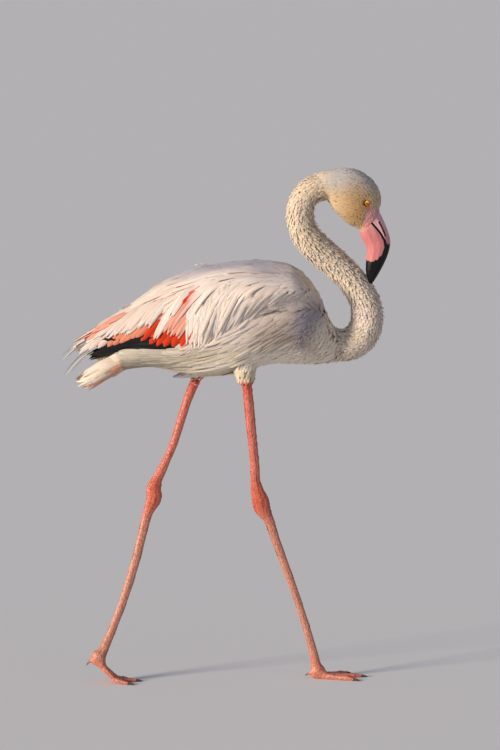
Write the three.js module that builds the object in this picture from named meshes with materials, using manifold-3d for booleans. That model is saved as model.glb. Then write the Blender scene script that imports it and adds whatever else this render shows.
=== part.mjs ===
// Greater flamingo, life size, walking with its neck in an S and its bill hanging down.
// Millimetres. +X towards the head, +Y the bird's left, +Z up. The soles rest on z = 0.
// Left and right are the bird's own. The body is a row of oval sections, smoothly joined.

import * as THREE from 'three';
import { mergeVertices } from 'three/addons/utils/BufferGeometryUtils.js';
import Module from 'manifold-3d';

const wasm = await Module();
wasm.setup();

// Driving dimensions
const GAP = 0.3; // between parts that touch
const SLIVER = 0.08; // faces thinner than this are merged into their neighbours
const HIP_SIDE = 33; // from the middle plane to each thigh
const ANKLE_SIDE = 22;
const FOOT_SIDE = 12;
const HEAD_SIDE = -12; // the head hangs a little to the right, clear of the lower neck
const EYE_RADIUS = 8;
const EYE_PLACE = { x: 244, z: 841, side: 16.5 };
const TOES = { middle: 78, outer: 68, spread: THREE.MathUtils.degToRad(31), claw: 11 };
const WEB = { thickness: 2, reach: 0.86, scallop: 0.24, height: 2 };
const PLANTED = { x: 161, sole: 0, slope: 0, bend: 30 };
const STEPPING = { x: -224, sole: 31, slope: THREE.MathUtils.degToRad(43), bend: 30 };

// Upright sections of the trunk: place along X, top, bottom, half width.
const TRUNK = [
  [185, 625, 559, 33],
  [174, 645, 558, 40],
  [160, 683, 558, 49],
  [128, 721, 558, 65],
  [96, 733, 561, 73],
  [60, 737, 557, 77],
  [25, 737, 546, 78],
  [-11, 732, 541, 76],
  [-46, 725, 541, 70],
  [-82, 709, 548, 61],
  [-117, 681, 557, 50],
  [-153, 643, 560, 38],
  [-181, 609, 554, 27],
];

// Upright sections through both folded wings: place along X, top, bottom, half width.
const WINGS = [
  [140, 692, 683, 44],
  [128, 709, 671, 66],
  [105, 725, 662, 78],
  [69, 731, 647, 85],
  [34, 734, 627, 87],
  [-2, 733, 601, 86],
  [-37, 728, 582, 80],
  [-64, 720, 577, 73],
  [-100, 707, 583, 62],
  [-135, 686, 588, 50],
  [-171, 661, 584, 38],
  [-206, 643, 577, 27],
  [-233, 624, 575, 18],
  [-256, 600, 579, 10],
  [-274, 585, 577, 5],
  [-290, 572, 569, 1.5],
];

// Upper edge of the black flight feathers that show below the folded wing: X, Z.
const FLIGHT_EDGE = [
  [-78, 598],
  [-115, 601],
  [-142, 605],
  [-155, 615],
  [-173, 616],
  [-199, 611],
  [-231, 605],
  [-260, 594],
];

// Leaning sections: top X and Z, bottom X and Z, half width.
const TAIL = [
  [-197, 584, -192, 548, 27],
  [-217, 576, -210, 541, 30],
  [-233, 566, -226, 532, 31],
  [-249, 552, -242, 530, 28],
  [-261, 538, -258, 529, 20],
  [-267, 531, -267, 528, 8],
];
const HEAD = [
  [197, 897, 189, 829, 23.5],
  [218, 897, 203, 812, 26],
  [241, 889, 217, 800, 26.5],
  [259, 874, 226, 796, 24],
  [269, 856, 232, 791, 21],
  [271, 840, 234, 788, 19],
  [268, 824, 235, 784, 17.5],
];
const BILL = [
  [279, 801, 238, 775, 17],
  [288, 776, 244, 764, 16],
  [288, 758, 247, 754, 15],
  [282, 739, 246, 740, 13],
  [273, 721, 245, 720, 10],
  [264, 706, 248, 704, 6],
  [256, 694, 253, 694, 1.5],
];

// The line along which the bill opens: X, Z.
const GAPE = [
  [243, 816],
  [252, 807],
  [262, 796],
  [271, 785],
  [278, 773],
  [281, 760],
  [277, 746],
  [269, 731],
  [261, 715],
  [254, 701],
  [252, 685],
];

// Round limbs: X, Y, Z, half depth seen from the side, half width seen from the front.
const NECK = [
  [196, 0, 587, 25.5, 23],
  [219, 0, 588, 27, 24],
  [238, 0, 600, 27, 24],
  [249, 0, 621, 26, 23.5],
  [250, 0, 646, 25.5, 23],
  [243, 0, 671, 24, 22],
  [226, -1, 697, 23, 21],
  [204, -2, 721, 23, 20.5],
  [181, -4, 742, 23.5, 20.5],
  [157, -7, 762, 23.5, 20.5],
  [137, -9, 788, 22.5, 20],
  [129, -11, 817, 21.5, 19.5],
  [132, HEAD_SIDE, 841, 21.5, 19.5],
  [148, HEAD_SIDE, 861, 21.5, 19.5],
  [173, HEAD_SIDE, 869, 24, 20.5],
];
const NECK_PARTS = { lower: [0, 5], middle: [5, 9], upper: [9, 14] };

const THIGHS = {
  right: [
    [22, HIP_SIDE, 600, 30, 22],
    [26, HIP_SIDE, 565, 24, 18],
    [29, HIP_SIDE, 542, 15.5, 13],
    [31, HIP_SIDE, 526, 11, 9.5],
  ],
  left: [
    [-27, HIP_SIDE, 592, 28, 22],
    [-34, HIP_SIDE, 566, 20, 16],
    [-40, HIP_SIDE, 547, 13.5, 12],
    [-45, HIP_SIDE, 532, 10.5, 9.5],
  ],
};
const SHINS = {
  right: [
    [31, 531, 9.5, 8],
    [38, 463, 9, 7],
    [42, 427, 8.5, 6.5],
    [46, 391, 8.5, 6.5],
    [48, 354, 9.5, 7.5],
  ],
  left: [
    [-43, 536, 9.5, 8],
    [-63, 492, 8, 7],
    [-86, 422, 7.5, 6.5],
    [-101, 388, 7.5, 6.5],
    [-118, 355, 10.5, 7.5],
  ],
};
const TARSI = {
  right: [
    [48, 354, 9.5, 7.5],
    [52, 336, 12, 9],
    [57, 320, 15.5, 9.5],
    [61, 305, 15, 9],
    [68, 293, 11, 7.5],
    [74, 282, 9, 6],
    [85, 248, 8, 5.2],
    [112, 176, 7, 4.8],
    [136, 105, 7, 4.8],
    [152, 51, 7.5, 6],
    [159, 20, 10, 8],
  ],
  left: [
    [-118, 355, 10.5, 7.5],
    [-124, 339, 13.5, 9],
    [-123, 328, 14.5, 9.5],
    [-126, 315, 13, 9],
    [-132, 303, 10, 7.5],
    [-139, 283, 8.5, 6],
    [-157, 213, 8, 5],
    [-179, 144, 7.5, 4.8],
    [-200, 91, 7.5, 4.8],
    [-215, 58, 9, 7],
    [-220, 47, 10, 8],
  ],
};

// Turns a three.js geometry into a solid that can be cut and joined.
function solid(geometry) {
  const plain = geometry.clone();
  plain.deleteAttribute('normal');
  plain.deleteAttribute('uv');
  const merged = mergeVertices(plain, 1e-4);
  const mesh = new wasm.Mesh({
    numProp: 3,
    vertProperties: new Float32Array(merged.attributes.position.array),
    triVerts: new Uint32Array(merged.index.array),
  });
  return new wasm.Manifold(mesh);
}

// Turns a solid back into a three.js geometry, without the slivers that cuts leave.
function geometryOf(body) {
  const mesh = body.simplify(SLIVER).getMesh();
  const geometry = new THREE.BufferGeometry();
  geometry.setAttribute('position', new THREE.BufferAttribute(new Float32Array(mesh.vertProperties), 3));
  geometry.setIndex(new THREE.BufferAttribute(new Uint32Array(mesh.triVerts), 1));
  geometry.computeVertexNormals();
  return geometry;
}

// A solid from a closed list of triangles, turned so that its faces point out.
function closedBody(positions, index) {
  const geometry = new THREE.BufferGeometry();
  geometry.setAttribute('position', new THREE.Float32BufferAttribute(positions, 3));
  geometry.setIndex(index);
  const body = solid(geometry);
  if (body.volume() > 0) {
    return body;
  }
  geometry.setIndex(index.reverse());
  return solid(geometry);
}

function cut(body, ...tools) {
  return tools.reduce((rest, tool) => rest.subtract(tool), body);
}

// The biggest of the separate lumps that a cut leaves.
function biggest(body) {
  const lumps = body.decompose();
  return lumps.reduce((best, lump) => (lump.volume() > best.volume() ? lump : best));
}

// A section is an oval: its middle, the vector from the middle to its top, and its half width.
function section(x, y, z, up, width) {
  return { middle: new THREE.Vector3(x, y, z), size: new THREE.Vector3(up.x, width, up.z) };
}

function uprightSections(rows) {
  return rows.map(([x, top, bottom, width]) => {
    const up = { x: 0, z: (top - bottom) / 2 };
    return section(x, 0, (top + bottom) / 2, up, width);
  });
}

function leaningSections(rows, y) {
  return rows.map(([topX, topZ, bottomX, bottomZ, width]) => {
    const up = { x: (topX - bottomX) / 2, z: (topZ - bottomZ) / 2 };
    return section((topX + bottomX) / 2, y, (topZ + bottomZ) / 2, up, width);
  });
}

// Sections square to the path of a limb.
function limbSections(rows) {
  return rows.map(([x, y, z, depth, width], i) => {
    const before = rows[Math.max(i - 1, 0)];
    const after = rows[Math.min(i + 1, rows.length - 1)];
    const run = new THREE.Vector2(after[0] - before[0], after[2] - before[2]).normalize();
    return section(x, y, z, { x: -run.y * depth, z: run.x * depth }, width);
  });
}

function smoothThrough(points) {
  return new THREE.CatmullRomCurve3(points, false, 'catmullrom', 0.5);
}

// A closed solid through sections. Each end stays half a gap short of its section, and with
// grow the whole solid is that much bigger, to cut a clearance into a neighbour.
function loft(sections, { sides = 16, steps = 2, from = 0, to = sections.length - 1, grow = 0, power = 2 }) {
  const middles = smoothThrough(sections.map((s) => s.middle));
  const sizes = smoothThrough(sections.map((s) => s.size));
  const count = (to - from) * steps + 1;
  const rings = [];
  for (let i = 0; i < count; i += 1) {
    const t = (from + i / steps) / (sections.length - 1);
    rings.push({ middle: middles.getPoint(t), size: sizes.getPoint(t) });
  }
  const shift = grow > 0 ? grow : -GAP / 2;
  const first = rings[0].middle.clone().sub(rings[1].middle).normalize();
  const last = rings[count - 1].middle.clone().sub(rings[count - 2].middle).normalize();
  rings[0].middle.addScaledVector(first, shift);
  rings[count - 1].middle.addScaledVector(last, shift);

  const positions = [];
  rings.forEach(({ middle, size }) => {
    const height = Math.hypot(size.x, size.z);
    const scale = (height + grow) / height;
    for (let k = 0; k < sides; k += 1) {
      const angle = (2 * Math.PI * k) / sides;
      const side = Math.sign(Math.cos(angle)) * Math.abs(Math.cos(angle)) ** (2 / power);
      const rise = Math.sign(Math.sin(angle)) * Math.abs(Math.sin(angle)) ** (2 / power);
      positions.push(
        middle.x + size.x * scale * rise,
        middle.y + (size.y + grow) * side,
        middle.z + size.z * scale * rise,
      );
    }
  });
  const index = [];
  for (let i = 0; i < count - 1; i += 1) {
    for (let k = 0; k < sides; k += 1) {
      const a = i * sides + k;
      const b = i * sides + ((k + 1) % sides);
      index.push(a, b, b + sides, a, b + sides, a + sides);
    }
  }
  [0, count - 1].forEach((ring) => {
    const centre = positions.length / 3;
    positions.push(rings[ring].middle.x, rings[ring].middle.y, rings[ring].middle.z);
    for (let k = 0; k < sides; k += 1) {
      const a = ring * sides + k;
      const b = ring * sides + ((k + 1) % sides);
      index.push(...(ring === 0 ? [centre, b, a] : [centre, a, b]));
    }
  });
  return closedBody(positions, index);
}

// A block that spans the whole width, bounded on one side by a line in the XZ plane, which
// can be moved a little to leave a gap.
function blockBeyond(line, corners, [moveX, moveZ] = [0, 0]) {
  const points = line.map(([x, z]) => new THREE.Vector2(x + moveX, z + moveZ));
  const smooth = new THREE.SplineCurve(points).getPoints(points.length * 2);
  const outline = new THREE.Shape([...smooth, ...corners.map(([x, z]) => new THREE.Vector2(x, z))]);
  const width = 400;
  const block = new THREE.ExtrudeGeometry(outline, { depth: width, bevelEnabled: false });
  block.rotateX(Math.PI / 2);
  block.translate(0, width / 2, 0);
  return solid(block);
}

function box(width, depth, height, x, y, z) {
  const geometry = new THREE.BoxGeometry(width, depth, height);
  geometry.translate(x, y, z);
  return solid(geometry);
}

function ball(radius, x, y, z, sides = 12) {
  const geometry = new THREE.SphereGeometry(radius, sides, Math.round(sides * 0.6));
  geometry.rotateX(Math.PI / 2);
  geometry.translate(x, y, z);
  return solid(geometry);
}

// Materials
const plumage = new THREE.MeshStandardMaterial({ color: 0xe6dccb, roughness: 0.85 });
const coverts = new THREE.MeshStandardMaterial({ color: 0xe9d6c8, roughness: 0.85 });
const black = new THREE.MeshStandardMaterial({ color: 0x1c1a1b, roughness: 0.5 });
const legSkin = new THREE.MeshStandardMaterial({ color: 0xcf7a68, roughness: 0.55 });
const billPink = new THREE.MeshStandardMaterial({ color: 0xd88a8c, roughness: 0.4 });
const iris = new THREE.MeshStandardMaterial({ color: 0xe0a92c, roughness: 0.1 });

const flamingo = new THREE.Group();

function add(name, body, material) {
  const mesh = new THREE.Mesh(geometryOf(body), material.clone());
  mesh.name = name;
  flamingo.add(mesh);
}

const MIRROR = { left: 1, right: -1 };

// Trunk and neck: the neck's first section closes the front of the trunk.
const neckSections = limbSections(NECK);
const tailSections = leaningSections(TAIL, 0);
const trunkSections = [neckSections[0], ...uprightSections(TRUNK), tailSections[0]];
const trunkShape = { sides: 22, steps: 2, power: 2.15 };
const trunk = loft(trunkSections, trunkShape);
const trunkRoom = loft(trunkSections, { ...trunkShape, grow: GAP });
add('trunk', trunk, plumage);
Object.entries(NECK_PARTS).forEach(([part, [from, to]]) => {
  add(`neck_${part}`, loft(neckSections, { sides: 14, from, to }), plumage);
});

// Tail: a drooping fan of feathers.
const tailShape = { sides: 14, steps: 2, power: 2.4 };
add('tail', loft(tailSections, tailShape), coverts);
const tailRoom = loft(tailSections, { ...tailShape, grow: GAP });

// Folded wings lie over the trunk and the tail. The black flight feathers show below them.
const wingShape = { sides: 18, steps: 2, power: 2.1 };
const wings = cut(loft(uprightSections(WINGS), wingShape), trunkRoom, tailRoom);
const below = [[-330, 540], [-70, 540]];
const flight = blockBeyond(FLIGHT_EDGE, below, [0, -GAP]);
const flightRoom = blockBeyond(FLIGHT_EDGE, below);
Object.entries(MIRROR).forEach(([side, sign]) => {
  const halfSpace = box(800, 400, 800, 0, sign * (200 + GAP / 2), 600);
  const wing = wings.intersect(halfSpace);
  add(`wing_${side}`, biggest(cut(wing, flightRoom)), coverts);
  add(`flight_feathers_${side}`, biggest(wing.intersect(flight)), black);
});

// Head, with a socket for each eye, and the bill in two halves parted at the gape.
const headSections = [neckSections[neckSections.length - 1], ...leaningSections(HEAD, HEAD_SIDE)];
const eyes = {};
Object.entries(MIRROR).forEach(([side, sign]) => {
  const y = HEAD_SIDE + sign * EYE_PLACE.side;
  eyes[side] = { body: ball(EYE_RADIUS, EYE_PLACE.x, y, EYE_PLACE.z) };
  eyes[side].room = ball(EYE_RADIUS + GAP, EYE_PLACE.x, y, EYE_PLACE.z);
  add(`eye_${side}`, eyes[side].body, iris);
});
const skull = loft(headSections, { sides: 18, steps: 2, power: 2.1 });
add('head', cut(skull, eyes.left.room, eyes.right.room), plumage);

const billSections = [headSections[headSections.length - 1], ...leaningSections(BILL, HEAD_SIDE)];
const bill = loft(billSections, { sides: 12, steps: 2, power: 2.2 });
const outside = [[330, 681], [330, 850], [243, 850]];
add('bill_upper', biggest(bill.intersect(blockBeyond(GAPE, outside))), billPink);
add('bill_lower', biggest(cut(bill, blockBeyond(GAPE, outside, [-GAP * 1.5, 0]))), billPink);

// Legs: feathered thigh, bare shin, and the long tarsus with the ankle joint at its top.
const SIDEWAYS = new THREE.Vector3(0, 1, 0);
const HIP_HEIGHT = 520;
const ANKLE_HEIGHT = 330;

function legSide(z) {
  if (z > ANKLE_HEIGHT) {
    return THREE.MathUtils.mapLinear(z, ANKLE_HEIGHT, HIP_HEIGHT, ANKLE_SIDE, HIP_SIDE);
  }
  return THREE.MathUtils.mapLinear(z, 0, ANKLE_HEIGHT, FOOT_SIDE, ANKLE_SIDE);
}

function legSections(rows, sign) {
  return limbSections(rows.map(([x, z, depth, width]) => [x, sign * legSide(z), z, depth, width]));
}

// The line of a toe's sole in its own upright plane: down the slope, round the bend, then flat.
function solePoint(s, foot) {
  if (foot.slope === 0) {
    return { run: s, height: 0 };
  }
  const sloping = (foot.sole - foot.bend * (1 - Math.cos(foot.slope))) / Math.sin(foot.slope);
  if (s <= sloping) {
    return { run: s * Math.cos(foot.slope), height: foot.sole - s * Math.sin(foot.slope) };
  }
  const turned = Math.min((s - sloping) / foot.bend, foot.slope);
  const left = foot.slope - turned;
  const flat = Math.max(s - sloping - foot.bend * foot.slope, 0);
  const run = sloping * Math.cos(foot.slope) + foot.bend * (Math.sin(foot.slope) - Math.sin(left)) + flat;
  return { run, height: foot.bend * (1 - Math.cos(left)) };
}

// One toe or claw, pointing along a heading, as rows of distance, half height, half width.
function toe(foot, y, heading, rows, sides) {
  const path = rows.map(([s, height, width]) => {
    const { run, height: sole } = solePoint(s, foot);
    return [run, 0, sole + height, height, width];
  });
  const body = loft(limbSections(path), { sides, steps: 1 });
  return body.rotate([0, 0, THREE.MathUtils.radToDeg(heading)]).translate([foot.x, y, 0]);
}

// The web between the outer and inner toes, a thin sheet with a hollow edge between toes.
function web(foot, y) {
  const across = 6;
  const along = 5;
  const positions = [];
  const index = [];
  [WEB.height + WEB.thickness, WEB.height].forEach((lift) => {
    for (let j = 0; j <= across; j += 1) {
      const turn = (2 * j) / across - 1;
      const length = THREE.MathUtils.lerp(TOES.middle, TOES.outer, Math.abs(turn)) * WEB.reach;
      const reach = length * (1 - WEB.scallop * Math.abs(Math.sin(Math.PI * turn)));
      for (let i = 0; i <= along; i += 1) {
        const { run, height } = solePoint(4 + ((reach - 4) * i) / along, foot);
        const heading = turn * TOES.spread;
        positions.push(foot.x + run * Math.cos(heading), y + run * Math.sin(heading), height + lift);
      }
    }
  });
  const columns = along + 1;
  const half = (across + 1) * columns;
  const quad = (a, b, c, d) => index.push(a, b, c, a, c, d);
  for (let j = 0; j < across; j += 1) {
    for (let i = 0; i < along; i += 1) {
      const a = j * columns + i;
      quad(a, a + 1, a + 1 + columns, a + columns);
      quad(half + a, half + a + columns, half + a + 1 + columns, half + a + 1);
    }
    const near = j * columns;
    const far = near + along;
    quad(near, near + columns, half + near + columns, half + near);
    quad(far, half + far, half + far + columns, far + columns);
  }
  for (let i = 0; i < along; i += 1) {
    const last = across * columns + i;
    quad(i, half + i, half + i + 1, i + 1);
    quad(last, last + 1, half + last + 1, half + last);
  }
  return closedBody(positions, index);
}

const TOE_NAMES = ['outer', 'middle', 'inner'];
const floor = box(900, 400, 40, 0, 0, -20);

function addFoot(side, foot, legRoom) {
  const sign = MIRROR[side];
  const y = sign * FOOT_SIDE;
  const sink = 0.5; // the toes' undersides are trimmed to small flats
  const knuckle = ball(1, 0, 0, 0, 12).scale([14, 10.5, 15]).translate([foot.x, y, foot.sole + 13]);
  let body = knuckle.add(web(foot, y));
  TOE_NAMES.forEach((name, i) => {
    const heading = sign * (1 - i) * TOES.spread;
    const length = name === 'middle' ? TOES.middle : TOES.outer;
    const rows = [
      [0, 8, 8],
      [length * 0.25, 5.5, 6],
      [length * 0.6, 4.3, 5],
      [length * 0.8, 4.4, 5],
      [length, 3, 3.8],
    ];
    body = body.add(toe(foot, y, heading, rows, 8).translate([0, 0, -sink]));
    const claw = [
      [length + GAP, 2.8, 3.4],
      [length + TOES.claw * 0.6, 1.8, 2.6],
      [length + TOES.claw, 0.6, 1],
    ];
    add(`claw_${name}_${side}`, toe(foot, y, heading, claw, 6), black);
  });
  const drop = foot.sole > 0 ? 2.5 : 1;
  const hind = limbSections([
    [foot.x - 6, y, foot.sole + 12, 5, 4.5],
    [foot.x - 13, y, foot.sole + 12 - drop, 3.2, 3],
    [foot.x - 18, y, foot.sole + 11 - drop * 2, 2.2, 2.2],
    [foot.x - 22, y, foot.sole + 9.5 - drop * 3, 1.4, 1.4],
    [foot.x - 25, y, foot.sole + 8 - drop * 4, 0.5, 0.5],
  ]);
  body = body.add(loft(hind, { sides: 6, steps: 1, to: 2 }));
  add(`claw_hind_${side}`, loft(hind, { sides: 6, steps: 1, from: 2 }), black);
  add(`foot_${side}`, biggest(cut(body, floor, legRoom)), legSkin);
}

const FEET = { right: PLANTED, left: STEPPING };
Object.entries(MIRROR).forEach(([side, sign]) => {
  const shinSections = legSections(SHINS[side], sign);
  const tarsusSections = legSections(TARSI[side], sign);
  const thighRows = THIGHS[side].map(([x, y, z, depth, width]) => [x, sign * y, z, depth, width]);
  const shinRoom = loft(shinSections, { sides: 10, grow: GAP });
  const thigh = loft(limbSections(thighRows), { sides: 12 });
  add(`thigh_${side}`, biggest(cut(thigh, trunkRoom, shinRoom)), plumage);
  shinSections[shinSections.length - 1] = tarsusSections[0];
  add(`shin_${side}`, loft(shinSections, { sides: 10, steps: 2 }), legSkin);
  add(`tarsus_${side}`, loft(tarsusSections, { sides: 10, steps: 2 }), legSkin);
  addFoot(side, FEET[side], loft(tarsusSections, { sides: 10, grow: GAP }));
});

export default flamingo;
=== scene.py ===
import bpy
import math
import numpy as np
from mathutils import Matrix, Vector
from mathutils.bvhtree import BVHTree


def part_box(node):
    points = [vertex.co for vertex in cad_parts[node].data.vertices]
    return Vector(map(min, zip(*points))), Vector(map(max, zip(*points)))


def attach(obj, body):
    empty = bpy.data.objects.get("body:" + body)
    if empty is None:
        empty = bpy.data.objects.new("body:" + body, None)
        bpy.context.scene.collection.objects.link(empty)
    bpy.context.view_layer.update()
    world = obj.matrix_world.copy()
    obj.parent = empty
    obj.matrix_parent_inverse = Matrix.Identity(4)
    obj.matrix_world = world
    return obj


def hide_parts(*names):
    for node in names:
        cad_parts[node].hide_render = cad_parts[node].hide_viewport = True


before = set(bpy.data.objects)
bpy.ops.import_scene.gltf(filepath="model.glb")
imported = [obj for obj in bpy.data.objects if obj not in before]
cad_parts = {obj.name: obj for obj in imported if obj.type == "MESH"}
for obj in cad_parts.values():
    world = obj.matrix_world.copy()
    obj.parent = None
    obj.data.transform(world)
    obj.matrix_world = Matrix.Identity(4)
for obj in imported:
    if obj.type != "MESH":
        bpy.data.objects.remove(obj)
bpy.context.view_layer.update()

# ----------------------------
# Stage: camera a little in front of the bird's right side and slightly above
# it, a plain pale floor, one large warm lamp at the left and a soft cool sky.
# ----------------------------
view_turn = math.radians(-10.0)
view_rise = math.radians(8.0)
view_right = Vector((math.cos(view_turn), math.sin(view_turn), 0.0))
view_ahead = Vector((
    -math.sin(view_turn) * math.cos(view_rise),
    math.cos(view_turn) * math.cos(view_rise),
    -math.sin(view_rise),
))
view_up = view_right.cross(view_ahead)
view_centre = view_right * 0.042 + view_up * 0.534
view_distance = 15.0
frame_height = 1.3125

bpy.ops.object.camera_add(location=view_centre - view_ahead * view_distance)
camera = bpy.context.object
camera.name = "camera"
camera.rotation_euler = view_ahead.to_track_quat("-Z", "Y").to_euler()
camera.data.sensor_width = 36.0
camera.data.lens = camera.data.sensor_width * view_distance / frame_height
camera.data.clip_end = 200.0
bpy.context.scene.camera = camera
bpy.context.scene.view_settings.view_transform = "Standard"

bpy.ops.mesh.primitive_plane_add(size=120.0, location=(0.0, 0.0, 0.0))
floor = bpy.context.object
floor.name = "floor"
floor_paint = bpy.data.materials.new("floor_paint")
floor_paint.use_nodes = True
floor_look = floor_paint.node_tree.nodes["Principled BSDF"].inputs
floor_look["Base Color"].default_value = (0.74, 0.74, 0.75, 1.0)
floor_look["Roughness"].default_value = 0.9
floor.data.materials.append(floor_paint)

bpy.ops.object.light_add(type="SUN", location=(-2.0, -2.0, 2.0))
key_lamp = bpy.context.object
key_lamp.name = "key_lamp"
key_lamp.data.energy = 4.3
key_lamp.data.angle = math.radians(14.0)
key_lamp.data.color = (1.0, 0.88, 0.73)
lamp_heading = Vector((0.86, 0.43, -0.25))
key_lamp.rotation_euler = lamp_heading.to_track_quat("-Z", "Y").to_euler()

sky = bpy.data.worlds.new("sky")
sky.use_nodes = True
sky_light = sky.node_tree.nodes["Background"].inputs
sky_light["Color"].default_value = (0.76, 0.82, 1.0, 1.0)
sky_light["Strength"].default_value = 0.34
bpy.context.scene.world = sky

# ----------------------------
# Skin: one warm, thin hide over the whole bird, from the base of the bill to
# the toes. It lies under the coat by the coat's depth and shows bare on the
# lores, the shanks, the webs and the toes.
# ----------------------------
feathered_nodes = [
    "trunk", "neck_lower", "neck_middle", "neck_upper", "head", "tail",
    "wing_left", "wing_right", "thigh_left", "thigh_right",
]
bare_leg_nodes = [
    "shin_left", "tarsus_left", "foot_left",
    "shin_right", "tarsus_right", "foot_right",
]


def copied_solids(node_names, name):
    """A mesh of its own, joined from copies of CAD nodes."""
    bpy.ops.object.select_all(action="DESELECT")
    for node in node_names:
        piece = bpy.data.objects.new(node + "_copy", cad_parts[node].data.copy())
        bpy.context.collection.objects.link(piece)
        piece.select_set(True)
        bpy.context.view_layer.objects.active = piece
    if len(node_names) > 1:
        bpy.ops.object.join()
    piece = bpy.context.object
    piece.name = name
    piece.data.name = name
    piece.data.materials.clear()
    bpy.ops.object.mode_set(mode="EDIT")
    bpy.ops.mesh.select_all(action="SELECT")
    bpy.ops.mesh.remove_doubles(threshold=0.00002)
    bpy.ops.object.mode_set(mode="OBJECT")
    return piece


def chosen(piece):
    bpy.ops.object.select_all(action="DESELECT")
    piece.select_set(True)
    bpy.context.view_layer.objects.active = piece


def with_modifier(piece, kind, **settings):
    chosen(piece)
    modifier = piece.modifiers.new(kind.lower(), kind)
    for setting, value in settings.items():
        setattr(modifier, setting, value)
    bpy.ops.object.modifier_apply(modifier=modifier.name)


def grown_together(piece, grow, voxel, smoothing):
    with_modifier(piece, "DISPLACE", strength=grow, mid_level=0.0)
    with_modifier(piece, "REMESH", mode="VOXEL", voxel_size=voxel)
    with_modifier(piece, "SMOOTH", factor=0.5, iterations=smoothing)


def corner_places(piece):
    places = np.zeros(len(piece.data.vertices) * 3)
    piece.data.vertices.foreach_get("co", places)
    return places.reshape(-1, 3)


def corner_normals(piece):
    normals = np.zeros(len(piece.data.vertices) * 3)
    piece.data.vertices.foreach_get("normal", normals)
    return normals.reshape(-1, 3)


def set_places(piece, places):
    piece.data.vertices.foreach_set("co", places.ravel())


def linear(red, green, blue):
    """A colour as seen, each level from 0 to 255, turned into linear light."""
    return np.array([(level / 255.0) ** 2.2 for level in (red, green, blue)])


def eased(value, low, high):
    """A smooth step from 0 at low to 1 at high."""
    share = np.clip((value - low) / (high - low), 0.0, 1.0)
    return share * share * (3.0 - 2.0 * share)


def patch(places, x, z, long, tall, lean=0.0, edge=0.5):
    """1 within a soft oval in the bird's side view, 0 outside it."""
    turn = math.radians(lean)
    away_x = places[:, 0] - x
    away_z = places[:, 2] - z
    along = (away_x * math.cos(turn) + away_z * math.sin(turn)) / long
    across = (away_z * math.cos(turn) - away_x * math.sin(turn)) / tall
    return 1.0 - eased(np.hypot(along, across), 1.0 - edge, 1.0 + edge)


def blended(colours, share, colour):
    share = np.asarray(share)[:, None]
    return colours * (1.0 - share) + np.asarray(colour) * share


bird_middle = -0.012
eye_centre = (0.2418, 0.8393)


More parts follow.
